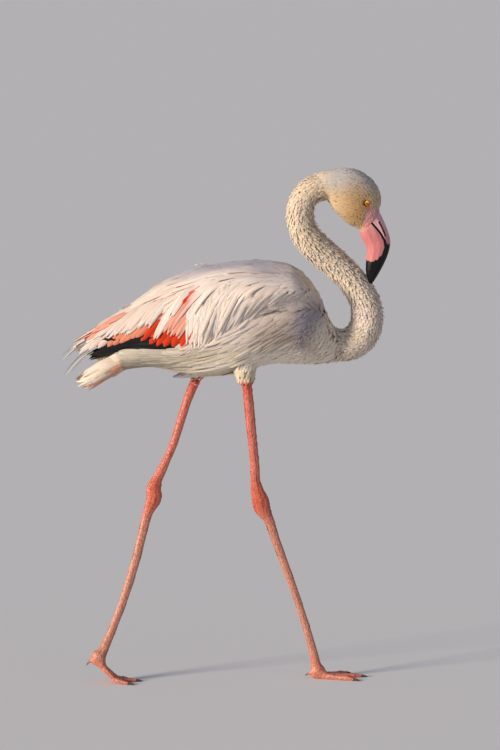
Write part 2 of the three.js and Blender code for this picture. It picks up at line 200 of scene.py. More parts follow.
def markings_and_painted_light(places):
    """The bird's colour at each place, the same for its skin and its coat, with painted shade and painted
    light in some patches. Places are in metres.
    """
    x, y, z = places.T
    side = np.abs(y)
    on_trunk = eased(-x, -0.20, -0.15) * (1.0 - eased(z, 0.748, 0.768))
    on_wing = on_trunk * eased(side, 0.018, 0.04) * eased(z, 0.590, 0.602)
    coral = np.maximum(
        patch(places, -0.103, 0.621, 0.034, 0.019, 0.0, 0.25),
        patch(places, -0.090, 0.666, 0.036, 0.010, 55.0, 0.25))
    coral = np.maximum(coral, patch(places, -0.143, 0.628, 0.026, 0.013, 55.0, 0.25))
    salmon = np.maximum(
        patch(places, -0.222, 0.627, 0.040, 0.009, 34.0, 0.3),
        patch(places, -0.205, 0.607, 0.024, 0.012, 20.0, 0.3))
    on_tail = eased(-x, 0.165, 0.185) * (1.0 - eased(z, 0.582, 0.590))
    neck = np.maximum(eased(x, 0.10, 0.14) * eased(z, 0.64, 0.70), eased(z, 0.748, 0.768))
    crown = eased(z, 0.85, 0.88) * eased(x, 0.15, 0.20)
    bare_face = eased(x, 0.236, 0.242) * (1.0 - eased(z, 0.826, 0.834)) * eased(z, 0.76, 0.77)
    below_eye = patch(places, 0.2455, 0.8285, 0.0022, 0.0060, 12.0, 0.6) * eased(side, 0.004, 0.010)
    eye_ring = 1.0 - eased(np.hypot(x - eye_centre[0], z - eye_centre[1]), 0.0052, 0.0068)
    thigh = 1.0 - eased(z, 0.548, 0.556)
    leg = 1.0 - eased(z, 0.527, 0.535)
    ankle = 1.0 - eased(np.abs(z - 0.33), 0.018, 0.045)
    shank = (1.0 - eased(z, 0.26, 0.31)) * eased(z, 0.02, 0.05)
    foot = 1.0 - eased(z, 0.02, 0.05)
    layers = (
        # trunk: lavender back, tan flank, pale belly, lavender-grey breast, pale wing front and crop,
        # grey-tan rump, each of them painted shade or painted light
        # painted shade: the top of the back lavender, lit only by the cool sky
        (on_trunk * eased(z, 0.690, 0.735), (180, 175, 187)),
        # painted shade: the lower flank darker tan
        (on_trunk * (1.0 - eased(z, 0.60, 0.67)), (180, 162, 144)),
        # painted light: the underside of the belly paler
        (on_trunk * (1.0 - eased(z, 0.575, 0.610)), (250, 236, 216)),
        # painted shadow: a lavender-grey patch on the breast in front of the wing
        (patch(places, 0.135, 0.635, 0.036, 0.052, 0.0, 0.8) * 0.9, (162, 153, 165)),
        # painted light: the front of the wing paler where it turns from the lamp
        (patch(places, 0.112, 0.704, 0.044, 0.030, 0.0, 0.7) * 0.95, (240, 226, 220)),
        # painted light: the bulge of the crop paler
        (patch(places, 0.19, 0.60, 0.05, 0.04), (246, 230, 210)),
        # painted shade: the rump darker grey-tan
        (patch(places, -0.13, 0.575, 0.10, 0.022, 6.0), (194, 182, 162)),
        # wing: pale rose coverts, pinker behind, coral and salmon where the under coverts show
        (on_wing * eased(-x, -0.08, 0.0) * 0.8, (243, 228, 218)),
        (on_wing * eased(-x, 0.06, 0.13) * 0.7, (241, 206, 192)),
        (on_wing * coral, (204, 54, 4)),
        (on_wing * salmon * 0.9, (226, 138, 108)),
        # tail: creamy with a salmon side
        (on_tail, (238, 220, 202)),
        (on_tail * patch(places, -0.206, 0.550, 0.034, 0.010, 38.0, 0.4), (232, 168, 140)),
        # neck and head: creamy neck, grey crown in painted shade, tawny cheek and throat
        (neck * 0.8, (232, 214, 192)),
        (neck * eased(z, 0.70, 0.80), (228, 208, 184)),
        # painted shade: the crown grey, lit only by the cool sky
        (crown, (206, 201, 199)),
        (patch(places, 0.226, 0.828, 0.032, 0.042, 10.0, 0.8) * 0.9, (178, 137, 82)),
        (patch(places, 0.186, 0.846, 0.034, 0.014, -25.0, 0.8) * 0.6, (222, 188, 142)),
        # bare face and the ring round the eye
        (bare_face, (214, 158, 158)),
        (bare_face * (1.0 - eased(z, 0.798, 0.822)), (222, 142, 140)),
        (below_eye * 0.7, (196, 92, 76)),
        (eye_ring * eased(side, 0.004, 0.010), (188, 92, 52)),
        # thigh, leg, ankle, shank and foot, each over the ones before it
        (thigh, (220, 204, 178)),
        (leg, (216, 120, 102)),
        (leg * eased(z, 0.490, 0.525), (208, 92, 78)),
        (leg * ankle, (212, 106, 80)),
        (shank, (210, 142, 120)),
        (foot, (212, 130, 108)),
    )
    colours = np.tile(linear(236, 218, 204), (len(places), 1))
    for share, colour in layers:
        colours = blended(colours, share, linear(*colour))
    return colours


def painted(piece, name, colours):
    layer = piece.data.color_attributes.new(name, "FLOAT_COLOR", "POINT")
    full = np.ones((len(piece.data.vertices), 4), np.float32)
    full[:, :3] = colours
    layer.data.foreach_set("color", full.ravel())


quill_nodes = ["flight_feathers_left", "flight_feathers_right"]
body_form = copied_solids(feathered_nodes + quill_nodes, "body_form")
grown_together(body_form, grow=0.0006, voxel=0.003, smoothing=10)
body_tree = BVHTree.FromObject(body_form, bpy.context.evaluated_depsgraph_get())


def sunk_under_coat(piece, depth):
    """Moves the hide inwards by the coat's depth, less where the form is thin."""
    places = corner_places(piece)
    normals = corner_normals(piece)
    for index in range(len(places)):
        inward = -Vector(normals[index])
        just_inside = Vector(places[index]) + inward * 0.0003
        far_side, _, _, thickness = body_tree.ray_cast(just_inside, inward)
        if far_side is not None:
            depth[index] = min(depth[index], 0.33 * thickness)
    set_places(piece, places - normals * depth[:, None])


skin = copied_solids([node for node in feathered_nodes if node != "head"], "skin")
grown_together(skin, grow=0.0006, voxel=0.003, smoothing=6)
places = corner_places(skin)
on_neck = (places[:, 2] > 0.66) & (places[:, 0] > 0.12)
sunk_under_coat(skin, np.where(on_neck, 0.0006, 0.0020))
chosen(skin)
bpy.ops.object.mode_set(mode="EDIT")
bpy.ops.mesh.select_all(action="SELECT")
bpy.ops.mesh.bisect(
    plane_co=(-0.212, 0.0, 0.57), plane_no=(-1.0, 0.0, 0.0), use_fill=True, clear_outer=True)
bpy.ops.object.mode_set(mode="OBJECT")
with_modifier(skin, "DECIMATE", ratio=0.5)

face = copied_solids(["head"], "face")
grown_together(face, grow=0.0002, voxel=0.0013, smoothing=8)
x, y, z = corner_places(face).T
bare = (z > 0.74) & (x > 0.236) & (z < 0.834)
sunk_under_coat(face, np.where(bare, 0.0003, 0.0007))
places = corner_places(face)
x, y, z = places.T.copy()
from_eye = np.hypot(x - eye_centre[0], z - eye_centre[1])
beside = np.abs(y - bird_middle) > 0.012
socket = -0.0035 * (1.0 - eased(from_eye, 0.0044, 0.0060))
rim = 0.0006 * np.exp(-((from_eye - 0.0068) / 0.0013) ** 2)
places[:, 1] += np.sign(y - bird_middle) * beside * (socket + rim)
bill_way = np.array([0.70, 0.0, -0.71])
to_bill = corner_normals(face) @ bill_way
closing = 0.0016 * eased(to_bill, 0.2, 0.7) * (x > 0.232) * (z < 0.826)
set_places(face, places + closing[:, None] * bill_way)

legs = copied_solids(bare_leg_nodes, "legs")
grown_together(legs, grow=0.0045, voxel=0.0014, smoothing=3)
with_modifier(legs, "DISPLACE", strength=-0.0043, mid_level=0.0)
with_modifier(legs, "SMOOTH", factor=0.5, iterations=2)
places = corner_places(legs)
heel = legs.vertex_groups.new(name="heel")
foot_hubs = {"right": (0.159, 0.018), "left": (-0.223, 0.036)}
for hub_x, hub_z in foot_hubs.values():
    near = np.hypot(places[:, 0] - hub_x, places[:, 2] - hub_z) < 0.019
    near &= places[:, 0] > hub_x - 0.010
    heel.add(np.flatnonzero(near).tolist(), 1.0, "REPLACE")
with_modifier(legs, "SMOOTH", factor=0.5, iterations=50, vertex_group="heel")
legs.vertex_groups.clear()
with_modifier(legs, "DECIMATE", ratio=0.62)
places = corner_places(legs)
x, y, z = places.T.copy()
far_leg = x < -0.02
slices = np.arange(0.03, 0.54, 0.004)
groove = np.zeros(len(places))
for leg in (far_leg, ~far_leg):
    middles = []
    for level in slices:
        near = leg & (np.abs(z - level) < 0.003)
        middles.append(places[near, :2].mean(0) if near.any() else middles[-1])
    middles = np.array(middles)
    turn_x = x - np.interp(z, slices, middles[:, 0])
    turn_y = y - np.interp(z, slices, middles[:, 1])
    turn = np.arctan2(turn_y, turn_x) * 5.0 + 1.1 + 0.6 * np.sin(z * 31.0)
    broken = 0.65 + 0.35 * np.sin(z * 150.0 + 2.0 * np.sin(turn / 5.0))
    groove = np.where(leg, eased(np.cos(turn), 0.55, 1.0) * broken, groove)
groove *= eased(z, 0.03, 0.07)
places -= corner_normals(legs) * (0.0004 * groove)[:, None]
places[:, 2] = np.maximum(places[:, 2], 0.0001)
set_places(legs, places)
painted(legs, "groove", np.tile(groove[:, None], (1, 3)))

bpy.ops.object.select_all(action="DESELECT")
for part in (legs, face, skin):
    part.select_set(True)
bpy.context.view_layer.objects.active = skin
bpy.ops.object.join()
skin = bpy.context.object
bpy.ops.object.shade_smooth()
x, y, z = corner_places(skin).T
groove = np.zeros(len(x) * 4, np.float32)
skin.data.color_attributes["groove"].data.foreach_get("color", groove)
groove = groove.reshape(-1, 4)[:, 0] * (z < 0.54)
skin.data.color_attributes.remove(skin.data.color_attributes["groove"])
# painted shade: where the coat covers it the hide is darkened brown, so the gaps between feathers read as
# shadow
coated = (z > 0.536) & ~((x > 0.232) & (z > 0.74))
skin_colours_with_gap_shade = blended(markings_and_painted_light(corner_places(skin)), coated * 0.45, linear(164, 136, 110))
groove_shade = 0.42 * groove[:, None] * np.array([0.7, 1.0, 1.0])
painted(skin, "tint", skin_colours_with_gap_shade * (1.0 - groove_shade))


def new_material(name):
    material = bpy.data.materials.new(name)
    material.use_nodes = True
    return material, material.node_tree, material.node_tree.nodes["Principled BSDF"]


def set_inputs(tree, node, inputs):
    """Each named input gets its value or, from another node's socket, a link."""
    for name, value in inputs.items():
        if isinstance(value, bpy.types.NodeSocket):
            tree.links.new(value, node.inputs[name])
        else:
            node.inputs[name].default_value = value


def added(tree, kind, inputs, **settings):
    """The outputs of a new shader node."""
    node = tree.nodes.new("ShaderNode" + kind)
    for setting, value in settings.items():
        setattr(node, setting, value)
    set_inputs(tree, node, inputs)
    return node.outputs


def multiplied(tree, share, colour, tone):
    inputs = {"Factor": share, "A": colour, "B": tone}
    return added(tree, "Mix", inputs, data_type="RGBA", blend_type="MULTIPLY")["Result"]


def ranged(tree, value, low, high, new_low, new_high):
    return added(tree, "MapRange", {
        "Value": value, "From Min": low, "From Max": high, "To Min": new_low, "To Max": new_high,
    })["Result"]


def bumped(tree, height, strength, distance):
    return added(tree, "Bump", {"Height": height, "Strength": strength, "Distance": distance})["Normal"]


skin_hide, tree, shader = new_material("skin_hide")
tint = added(tree, "VertexColor", {}, layer_name="tint")["Color"]
place = added(tree, "TexCoord", {})["Object"]
grain = added(tree, "TexNoise", {"Vector": place, "Scale": 260.0, "Detail": 4.0})["Fac"]
shade = tree.nodes.new("ShaderNodeValToRGB")
shade.color_ramp.elements[0].position = 0.3
shade.color_ramp.elements[0].color = (0.55, 0.45, 0.42, 1.0)
shade.color_ramp.elements[1].position = 0.7
set_inputs(tree, shade, {"Fac": grain})
stretched = added(tree, "Mapping", {"Vector": place, "Scale": (1.0, 1.0, 0.75)})["Vector"]
scutes = added(tree, "TexVoronoi", {"Vector": stretched, "Scale": 330.0})["Distance"]
scute_tone = ranged(tree, scutes, low=0.25, high=0.8, new_low=1.06, new_high=0.66)
mottled = multiplied(tree, share=0.35, colour=tint, tone=shade.outputs["Color"])
scaled = multiplied(tree, share=0.8, colour=mottled, tone=scute_tone)
set_inputs(tree, shader, {
    "Roughness": 0.42, "Base Color": scaled,
    "Normal": bumped(tree, scutes, strength=0.8, distance=0.0008)})
skin.data.materials.append(skin_hide)
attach(skin, "root")
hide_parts(*feathered_nodes, *bare_leg_nodes)

# ----------------------------
# Feather tufts of the neck: about five thousand short, loose tufts rooted in
# the skin, each a thin closed vane that leans away from the bill and lies
# over the roots of the next, in the S of the neck.
# ----------------------------
class Ground:
    """The outer form that the coat lies on: its triangles, normals and the lie of the feathers."""


spine = np.array([
    (0.272, -0.012, 0.790), (0.262, -0.012, 0.822), (0.243, -0.012, 0.852), (0.212, -0.012, 0.868),
    (0.173, -0.012, 0.870), (0.148, -0.012, 0.862), (0.132, -0.012, 0.841), (0.129, -0.011, 0.817),
    (0.137, -0.009, 0.788), (0.157, -0.007, 0.762), (0.181, -0.004, 0.742), (0.204, -0.002, 0.721),
    (0.226, -0.001, 0.697), (0.243, 0.0, 0.671), (0.250, 0.0, 0.646), (0.249, 0.0, 0.621),
    (0.238, 0.0, 0.602), (0.219, 0.0, 0.592), (0.190, 0.0, 0.596), (0.150, 0.0, 0.620),
    (0.100, 0.0, 0.640), (0.0, 0.0, 0.640), (-0.100, 0.0, 0.622), (-0.180, 0.0, 0.590),
    (-0.270, 0.0, 0.530),
])
first_trunk_step = 17


def near_spine(points, on_neck):
    """For each point: how far along the spine it lies, the spine's place there and its heading."""
    steps = spine[1:] - spine[:-1]
    lengths = np.linalg.norm(steps, axis=1)
    headings = steps / lengths[:, None]
    starts = np.concatenate([[0.0], np.cumsum(lengths)[:-1]])
    share = ((points[:, None, :] - spine[None, :-1, :]) * steps[None]).sum(2) / (lengths ** 2)[None]
    share = np.clip(share, 0.0, 1.0)
    foot = spine[None, :-1, :] + share[:, :, None] * steps[None]
    gap = np.linalg.norm(points[:, None, :] - foot, axis=2)
    number = np.arange(len(steps))[None, :]
    gap = np.where(on_neck[:, None] == (number < first_trunk_step), gap, gap + 1.0)
    nearest = gap.argmin(1)
    row = np.arange(len(points))
    bend = np.zeros((len(spine), 3))
    bend[1:-1] = headings[1:] + headings[:-1]
    bend[0] = headings[0]
    bend[-1] = headings[-1]
    bend /= np.linalg.norm(bend, axis=1)[:, None]
    t = share[row, nearest][:, None]
    heading = bend[nearest] * (1.0 - t) + bend[nearest + 1] * t
    along = starts[nearest] + share[row, nearest] * lengths[nearest]
    return along, foot[row, nearest], heading / np.linalg.norm(heading, axis=1)[:, None]


def unit(vectors):
    return vectors / np.maximum(np.linalg.norm(vectors, axis=-1, keepdims=True), 1e-9)


wing_top_x = [-0.290, -0.256, -0.206, -0.171, -0.100, -0.037, 0.034, 0.105, 0.128, 0.140]
wing_top_z = [0.572, 0.600, 0.643, 0.661, 0.707, 0.728, 0.734, 0.725, 0.709, 0.692]


def wing_droop(x):
    """How steeply the wing's feathers hang, in degrees below level."""
    spread = np.where(x > -0.035, 0.09, 0.065)
    return 32.0 + 42.0 * np.exp(-((x + 0.035) / spread) ** 2)


def made_ground():
    ground = Ground()
    body_form.data.calc_loop_triangles()
    triangles = np.zeros(len(body_form.data.loop_triangles) * 3, np.int32)
    body_form.data.loop_triangles.foreach_get("vertices", triangles)
    ground.triangles = triangles.reshape(-1, 3)
    ground.corners = corner_places(body_form)
    ground.tree = BVHTree.FromPolygons(
        ground.corners.tolist(), ground.triangles.tolist(), all_triangles=True)
    a, b, c = (ground.corners[ground.triangles[:, k]] for k in range(3))
    cross = np.cross(b - a, c - a)
    ground.area = np.linalg.norm(cross, axis=1) / 2.0
    ground.normal = unit(cross)
    ground.centre = (a + b + c) / 3.0
    names = []
    owners = []
    points = []
    faces = []
    for node in feathered_nodes + quill_nodes:
        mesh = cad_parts[node].data
        mesh.calc_loop_triangles()
        offset = len(points)
        points += [tuple(corner.co) for corner in mesh.vertices]
        for triangle in mesh.loop_triangles:
            faces.append([offset + corner for corner in triangle.vertices])
            owners.append(len(names))
        names.append(node)
    solids = BVHTree.FromPolygons(points, faces, all_triangles=True)
    owner = [owners[solids.find_nearest(Vector(spot))[2]] for spot in ground.centre]
    ground.tract = np.array([names[index].split("_")[0] for index in owner])
    on_neck = np.isin(ground.tract, ["neck", "head"])
    ground.along, ground.core, heading = near_spine(ground.centre, on_neck)
    x, y, z = ground.centre.T
    top = np.interp(x, wing_top_x, wing_top_z)
    fall = 0.22 + 0.78 * eased(top - z, 0.008, 0.034)
    droop = np.radians(wing_droop(x) * fall)
    hanging = np.stack([-np.cos(droop), 0.0 * x, -np.sin(droop)], 1)
    wing = ground.tract == "wing"
    heading = np.where(wing[:, None], hanging, heading)
    flank = (ground.tract == "trunk") & (z < 0.66) & (ground.normal[:, 2] < 0.3)
    slope = np.radians(np.where(x > 0.0, 28.0, 18.0))
    sweep = np.stack([-np.cos(slope), 0.0 * x, -np.sin(slope)], 1)
    heading = np.where(flank[:, None], sweep, heading)
    thigh = ground.tract == "thigh"
    heading = np.where(thigh[:, None], np.array([-0.25, 0.0, -1.0]), heading)
    heading = heading - ground.normal * (heading * ground.normal).sum(1)[:, None]
    ground.heading = unit(heading)
    return ground


ground = made_ground()


def scattered_roots(wanted, spacing, seed):
    """Roots at random over the wanted triangles, no two nearer than the spacing there."""
    random = np.random.default_rng(seed)
    weight = ground.area * wanted / spacing ** 2
    tries_each = 3.2
    tries = int(weight.sum() * tries_each)
    pick = random.choice(len(weight), tries, p=weight / weight.sum())
    u = random.random(tries)
    v = random.random(tries)
    over = u + v > 1.0
    u = np.where(over, 1.0 - u, u)
    v = np.where(over, 1.0 - v, v)
    a, b, c = (ground.corners[ground.triangles[pick, k]] for k in range(3))
    spots = a + (b - a) * u[:, None] + (c - a) * v[:, None]
    room = spacing[pick]
    keys = np.floor(spots / float(room.max())).astype(int)
    nearby = [(i, j, k) for i in (-1, 0, 1) for j in (-1, 0, 1) for k in (-1, 0, 1)]
    taken = {}
    kept = []
    for index in range(tries):
        i, j, k = keys[index]
        x, y, z = spots[index]
        free = True
        for di, dj, dk in nearby:
            for other_x, other_y, other_z, other_room in taken.get((i + di, j + dj, k + dk), ()):
                reach = min(room[index], other_room)
                apart = (x - other_x) ** 2 + (y - other_y) ** 2 + (z - other_z) ** 2
                free = free and not apart < reach * reach
            if not free:
                break
        if free:
            taken.setdefault((i, j, k), []).append((x, y, z, room[index]))
            kept.append(index)
    return spots[kept], pick[kept]


def unwrapped(spots, faces):
    """Round the body and along it, from 0 to 1 each."""
    along = ground.along[faces]
    away = spots - ground.core[faces]
    round_body = np.arctan2(away[:, 1], away[:, 2] - 0.4 * away[:, 0]) / (2.0 * math.pi) + 0.5
    margin = 0.01
    inside = 0.98
    return np.stack([margin + inside * round_body, margin + inside * along / ground.along.max()], 1)


def laid(spots, faces, length, root_depth, tip_lift, stations, random,
         follow=0.6, hug=0.8, hang=0.0, twist=12.0):
    """The centre line of each feather: from its root, along the lie of the coat, up to its tip."""
    count = len(spots)
    lines = np.zeros((count, len(stations), 3))
    ups = np.zeros((count, len(stations), 3))
    grounds = np.zeros((count, len(stations), 3))
    turned = np.radians(random.normal(0.0, twist, count))
    for number in range(count):
        face = int(faces[number])
        up = Vector(ground.normal[face])
        heading = Vector(ground.heading[face])
        side = heading.cross(up)
        heading = heading * math.cos(turned[number]) + side * math.sin(turned[number])
        here = Vector(spots[number]) - up * float(root_depth[number])
        size = float(length[number])
        lift = float(tip_lift[number])
        sink = float(root_depth[number])
        lines[number, 0] = here
        ups[number, 0] = up
        grounds[number, 0] = up
        for k in range(1, len(stations)):
            step = (stations[k] - stations[k - 1]) * size
            ahead = here + heading * step
            ahead.z -= hang * step
            spot, normal, face, gap = ground.tree.find_nearest(ahead)
            height = (ahead - spot).dot(normal)
            share = stations[k]
            emerged = min(1.0, share * 2.5)
            wanted = lift * share - sink * (1.0 - emerged)
            if height < wanted:
                ahead = ahead + normal * (wanted - height)
            elif gap < 1.5 * abs(height) + 0.0005:
                ahead = ahead - normal * (height - wanted) * hug
            moved = (ahead - here).normalized()
            lie = Vector(ground.heading[face])
            heading = (moved * (1.0 - follow) + lie * follow).normalized()
            up = normal - moved * normal.dot(moved)
            up.normalize()
            here = here + moved * step
            lines[number, k] = here
            ups[number, k] = up
            grounds[number, k] = normal
    return lines, ups, grounds


tuft_ring = np.array([(-1.0, -0.30), (0.0, 0.10), (1.0, -0.30)])


def per_corner(values, around):
    """One value for the root, one for each corner of each ring, one for the tip."""
    return np.concatenate([values[:, :1], np.repeat(values[:, 1:-1], around, 1), values[:, -1:]], 1)


def vane_faces(stations, around, last_upper):
    """The triangles of one vane, their places in the bake map, and which of them face up."""
    pattern = []
    chart = []
    upper = []
    reach = np.linspace(0.0, 1.0, around + 1)
    rings = len(stations) - 2
    last = 1 + (rings - 1) * around
    for j in range(around):
        n = (j + 1) % around
        left = reach[j]
        right = reach[j + 1]
        middle = (left + right) / 2.0
        pattern += [(0, 1 + n, 1 + j), (last + j, last + n, last + around)]
        chart += [
            (middle, stations[0], right, stations[1], left, stations[1]),
            (left, stations[-2], right, stations[-2], middle, stations[-1])]
        for k in range(rings - 1):
            low = 1 + k * around
            high = low + around
            near = stations[k + 1]
            far = stations[k + 2]
            pattern += [(low + j, low + n, high + n), (low + j, high + n, high + j)]
            chart += [(left, near, right, near, right, far), (left, near, right, far, left, far)]
        upper += [j < last_upper] * (2 * rings)
    return np.array(pattern), np.array(chart).reshape(len(pattern), 3, 2), np.array(upper)


def vanes(name, lines, ups, grounds, stations, width, outline, ring, thick, colours, unwrap,
          roll, soft, root_shade=0.86):
    """One closed thin solid for each line, all joined in one piece."""
    count, steps, _ = lines.shape
    around = len(ring)
    ahead = np.zeros_like(lines)
    ahead[:, 1:-1] = lines[:, 2:] - lines[:, :-2]
    ahead[:, 0] = lines[:, 1] - lines[:, 0]
    ahead[:, -1] = lines[:, -1] - lines[:, -2]
    ahead = unit(ahead)
    up = unit(ups - ahead * (ups * ahead).sum(2, keepdims=True))
    side = np.cross(ahead, up)
    lean = roll[:, None, None]
    side, up = side * np.cos(lean) + up * np.sin(lean), up * np.cos(lean) - side * np.sin(lean)
    half = (width[:, None] * outline)[:, 1:-1, None]
    ring_side = side[:, 1:-1, None, :]
    ring_up = up[:, 1:-1, None, :]
    rings = (
        lines[:, 1:-1, None, :]
        + ring_side * (half * ring[:, 0])[..., None]
        + ring_up * (half * ring[:, 1])[..., None]
    )
    crest = (np.abs(ring[:, 0]) < 0.9) & (ring[:, 1] > -0.1)
    rings = rings + ring_up * (thick[:, None, None] * crest)[..., None]
    corners = np.concatenate([lines[:, :1], rings.reshape(count, -1, 3), lines[:, -1:]], 1)
    per = corners.shape[1]
    facing = unit(up * (1.0 - soft) + grounds * soft)
    edge_tilt = 48.0 * (1.0 - soft)
    tilt = np.radians(edge_tilt) * ring[:, 0, None]
    leaned = facing[:, 1:-1, None, :] * np.cos(tilt) + ring_side * np.sin(tilt)
    outer = np.concatenate([facing[:, :1], leaned.reshape(count, -1, 3), facing[:, -1:]], 1)
    under = -per_corner(up, around)
    pattern, chart, upper = vane_faces(stations, around, ring[:, 0].argmax())
    mesh = bpy.data.meshes.new(name)
    mesh.vertices.add(count * per)
    mesh.vertices.foreach_set("co", corners.reshape(-1))
    loops = (pattern[None] + (np.arange(count) * per)[:, None, None]).reshape(-1)
    mesh.loops.add(len(loops))
    mesh.loops.foreach_set("vertex_index", loops.astype(np.int32))
    mesh.polygons.add(len(loops) // 3)
    mesh.polygons.foreach_set("loop_start", np.arange(0, len(loops), 3, dtype=np.int32))
    mesh.update(calc_edges=True)
    across = np.concatenate([[0.5], np.tile((ring[:, 0] + 1.0) / 2.0, steps - 2), [0.5]])
    along = np.concatenate([[0.0], np.repeat(stations[1:-1], around), [1.0]])
    lengths = np.linalg.norm(lines[:, 1:] - lines[:, :-1], axis=2).sum(1)
    shift = np.arange(count) % 97 * 2.0
    vane = mesh.uv_layers.new(name="vane")
    spread = np.stack([
        across[pattern][None] + shift[:, None, None],
        along[pattern][None] * (lengths * 100.0)[:, None, None],
    ], 3)
    vane.data.foreach_set("uv", spread.reshape(-1).astype(np.float32))
    bake = mesh.uv_layers.new(name="OFBake")
    chart_size = 0.003
    charted = unwrap[:, None, None, :] + chart_size * (chart[None] - 0.5)
    bake.data.foreach_set("uv", charted.reshape(-1).astype(np.float32))
    turned = np.where(upper[None, :, None, None], outer[:, pattern], under[:, pattern])
    mesh.normals_split_custom_set(turned.reshape(-1, 3))
    piece = bpy.data.objects.new(name, mesh)
    bpy.context.collection.objects.link(piece)
    # painted shade: each vane darker at its root, where the feathers before it lie over it, a little
    # lighter at its tip and a little darker at its side edges, the shade deeper in green and blue
    tip_shade = 1.02
    shade = root_shade + (tip_shade - root_shade) * eased(along, 0.1, 0.9)
    edge = np.concatenate([[1.0], np.tile(1.0 - 0.04 * np.abs(ring[:, 0]), steps - 2), [1.0]])
    warm_shadow = np.array([1.0, 1.12, 1.28])
    full = colours * ((shade * edge)[:, None] ** warm_shadow)[None]
    painted(piece, "tint", np.clip(full.reshape(-1, 3), 0.0, 0.97))
    return piece


def vane_colours(lines, around, random, spread):
    """Each feather has one colour of its own, from the bird's colours and painted light near its tip."""
    count, steps, _ = lines.shape
    own = markings_and_painted_light(lines[:, 0] + (lines[:, -1] - lines[:, 0]) * 0.7)
    there = markings_and_painted_light(lines.reshape(-1, 3)).reshape(count, steps, 3)
    colours = own[:, None, :] * 0.6 + there * 0.4
    light = 1.0 + random.normal(0.0, spread, count)
    warm = random.normal(0.0, spread * 0.4, count)
    tone = np.stack([light * (1.0 + warm), light, light * (1.0 - warm)], 1)
    return per_corner(colours * tone[:, None, :], around)


def new_group(name, inputs, outputs):
    """An empty shader group: its tree, what enters it and the node that leaves it."""
    group = bpy.data.node_groups.new(name, "ShaderNodeTree")
    for way, sockets in (("INPUT", inputs), ("OUTPUT", outputs)):
        for socket, kind in sockets.items():
            group.interface.new_socket(socket, in_out=way, socket_type="NodeSocket" + kind)
    return group, group.nodes.new("NodeGroupInput").outputs, group.nodes.new("NodeGroupOutput")


# barbs of a vane: fine slanting lines either side of the shaft, and soft streaks
barbs, enter, leave = new_group(
    "barbs", {"Tint": "Color", "Vane": "Vector", "Streaks": "Float"}, {"Color": "Color", "Height": "Float"})
split = added(barbs, "SeparateXYZ", {"Vector": enter["Vane"]})
from_shaft = added(barbs, "Math", {0: split["X"], 1: 0.5}, operation="PINGPONG")["Value"]
slant = added(barbs, "Math", {0: from_shaft, 1: 1.1, 2: split["Y"]}, operation="MULTIPLY_ADD")["Value"]
line = added(barbs, "CombineXYZ", {"X": slant, "Y": split["X"]})["Vector"]
stretched = added(barbs, "Mapping", {"Vector": line, "Scale": (3.0, 0.35, 1.0)})["Vector"]
fine = added(barbs, "TexNoise", {"Vector": stretched, "Scale": 9.0, "Detail": 3.0})["Fac"]
barb_tone = ranged(barbs, fine, low=0.3, high=0.7, new_low=0.72, new_high=1.08)
streaked = multiplied(barbs, share=enter["Streaks"], colour=enter["Tint"], tone=barb_tone)
set_inputs(barbs, leave, {"Color": streaked, "Height": fine})


def feather_material(name, streaks, roughness, sheen, relief_depth):
    material, tree, shader = new_material(name)
    tint = added(tree, "VertexColor", {}, layer_name="tint")["Color"]
    vane = added(tree, "UVMap", {}, uv_map="vane")["UV"]
    detail = added(tree, "Group", {"Tint": tint, "Vane": vane, "Streaks": streaks}, node_tree=barbs)
    set_inputs(tree, shader, {
        "Roughness": roughness, "Sheen Weight": sheen, "Sheen Roughness": 0.5,
        "Specular IOR Level": 0.25, "Base Color": detail["Color"],
        "Normal": bumped(tree, detail["Height"], strength=0.4, distance=relief_depth)})
    return material


down = feather_material("down", streaks=0.45, roughness=0.85, sheen=0.15, relief_depth=0.0005)

tuft_stations = np.array([0.0, 0.22, 0.5, 0.78, 0.94, 1.0])
tuft_outline = np.array([0.0, 0.75, 1.0, 0.88, 0.5, 0.0])


def bare_face(points):
    x, y, z = points.T
    front = 0.231 + (z - 0.788) * 0.28
    lores = (x > front) & (z < 0.831) & (z > 0.74)
    eye = np.hypot(x - eye_centre[0], z - eye_centre[1]) < 0.0072
    return lores | (eye & (np.abs(y - bird_middle) > 0.012))


def clumped(spots, faces, pitch, seed):
    """From 0 to 1 across each clump of feathers: the leading ones lie over the next clump."""
    random = np.random.default_rng(seed)
    waves = random.normal(0.0, 1.0, (6, 3)) / pitch * 0.35
    phases = random.uniform(0.0, 2.0 * math.pi, 6)
    wander = np.sin(spots @ waves.T + phases).sum(1) * 0.35
    cross = np.cross(ground.heading[faces], ground.normal[faces])
    level = (spots * np.array([0.6, 1.0, -1.0])).sum(1) / pitch + wander + 0.15 * cross[:, 2]
    return level - np.floor(level)


def tufts(name, wanted, seed, material, slot, spacing, length, width, depth, lift,
          stations=tuft_stations, outline=tuft_outline, spread=0.05, soft=0.6, thick=0.10,
          clump=0.0, pitch=0.014, root_shade=0.86, **lie):
    """Feathers over the wanted ground. Each measure is one number or one for each triangle."""
    spacing, length, width, depth, lift = (
        measure * np.ones(len(wanted)) for measure in (spacing, length, width, depth, lift))
    random = np.random.default_rng(seed)
    spots, faces = scattered_roots(wanted, spacing, seed)
    count = len(spots)
    size = length[faces] * random.uniform(0.8, 1.2, count)
    rise = lift[faces] * random.uniform(0.4, 1.6, count)
    if clump > 0.0:
        rise = rise * (1.0 - clump + 2.0 * clump * clumped(spots, faces, pitch, seed) ** 1.5)
    lines, ups, grounds = laid(spots, faces, size, depth[faces], rise, stations, random, **lie)
    colours = vane_colours(lines, len(tuft_ring), random, spread)
    half = width[faces] * 0.5 * random.uniform(0.85, 1.15, count)
    roll = np.radians(random.normal(0.0, 9.0, count))
    piece = vanes(
        name, lines, ups, grounds, stations, half, outline, tuft_ring, half * thick,
        colours, unwrapped(spots, faces), roll, soft, root_shade)
    piece.data.materials.append(material)
    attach(piece, "root")


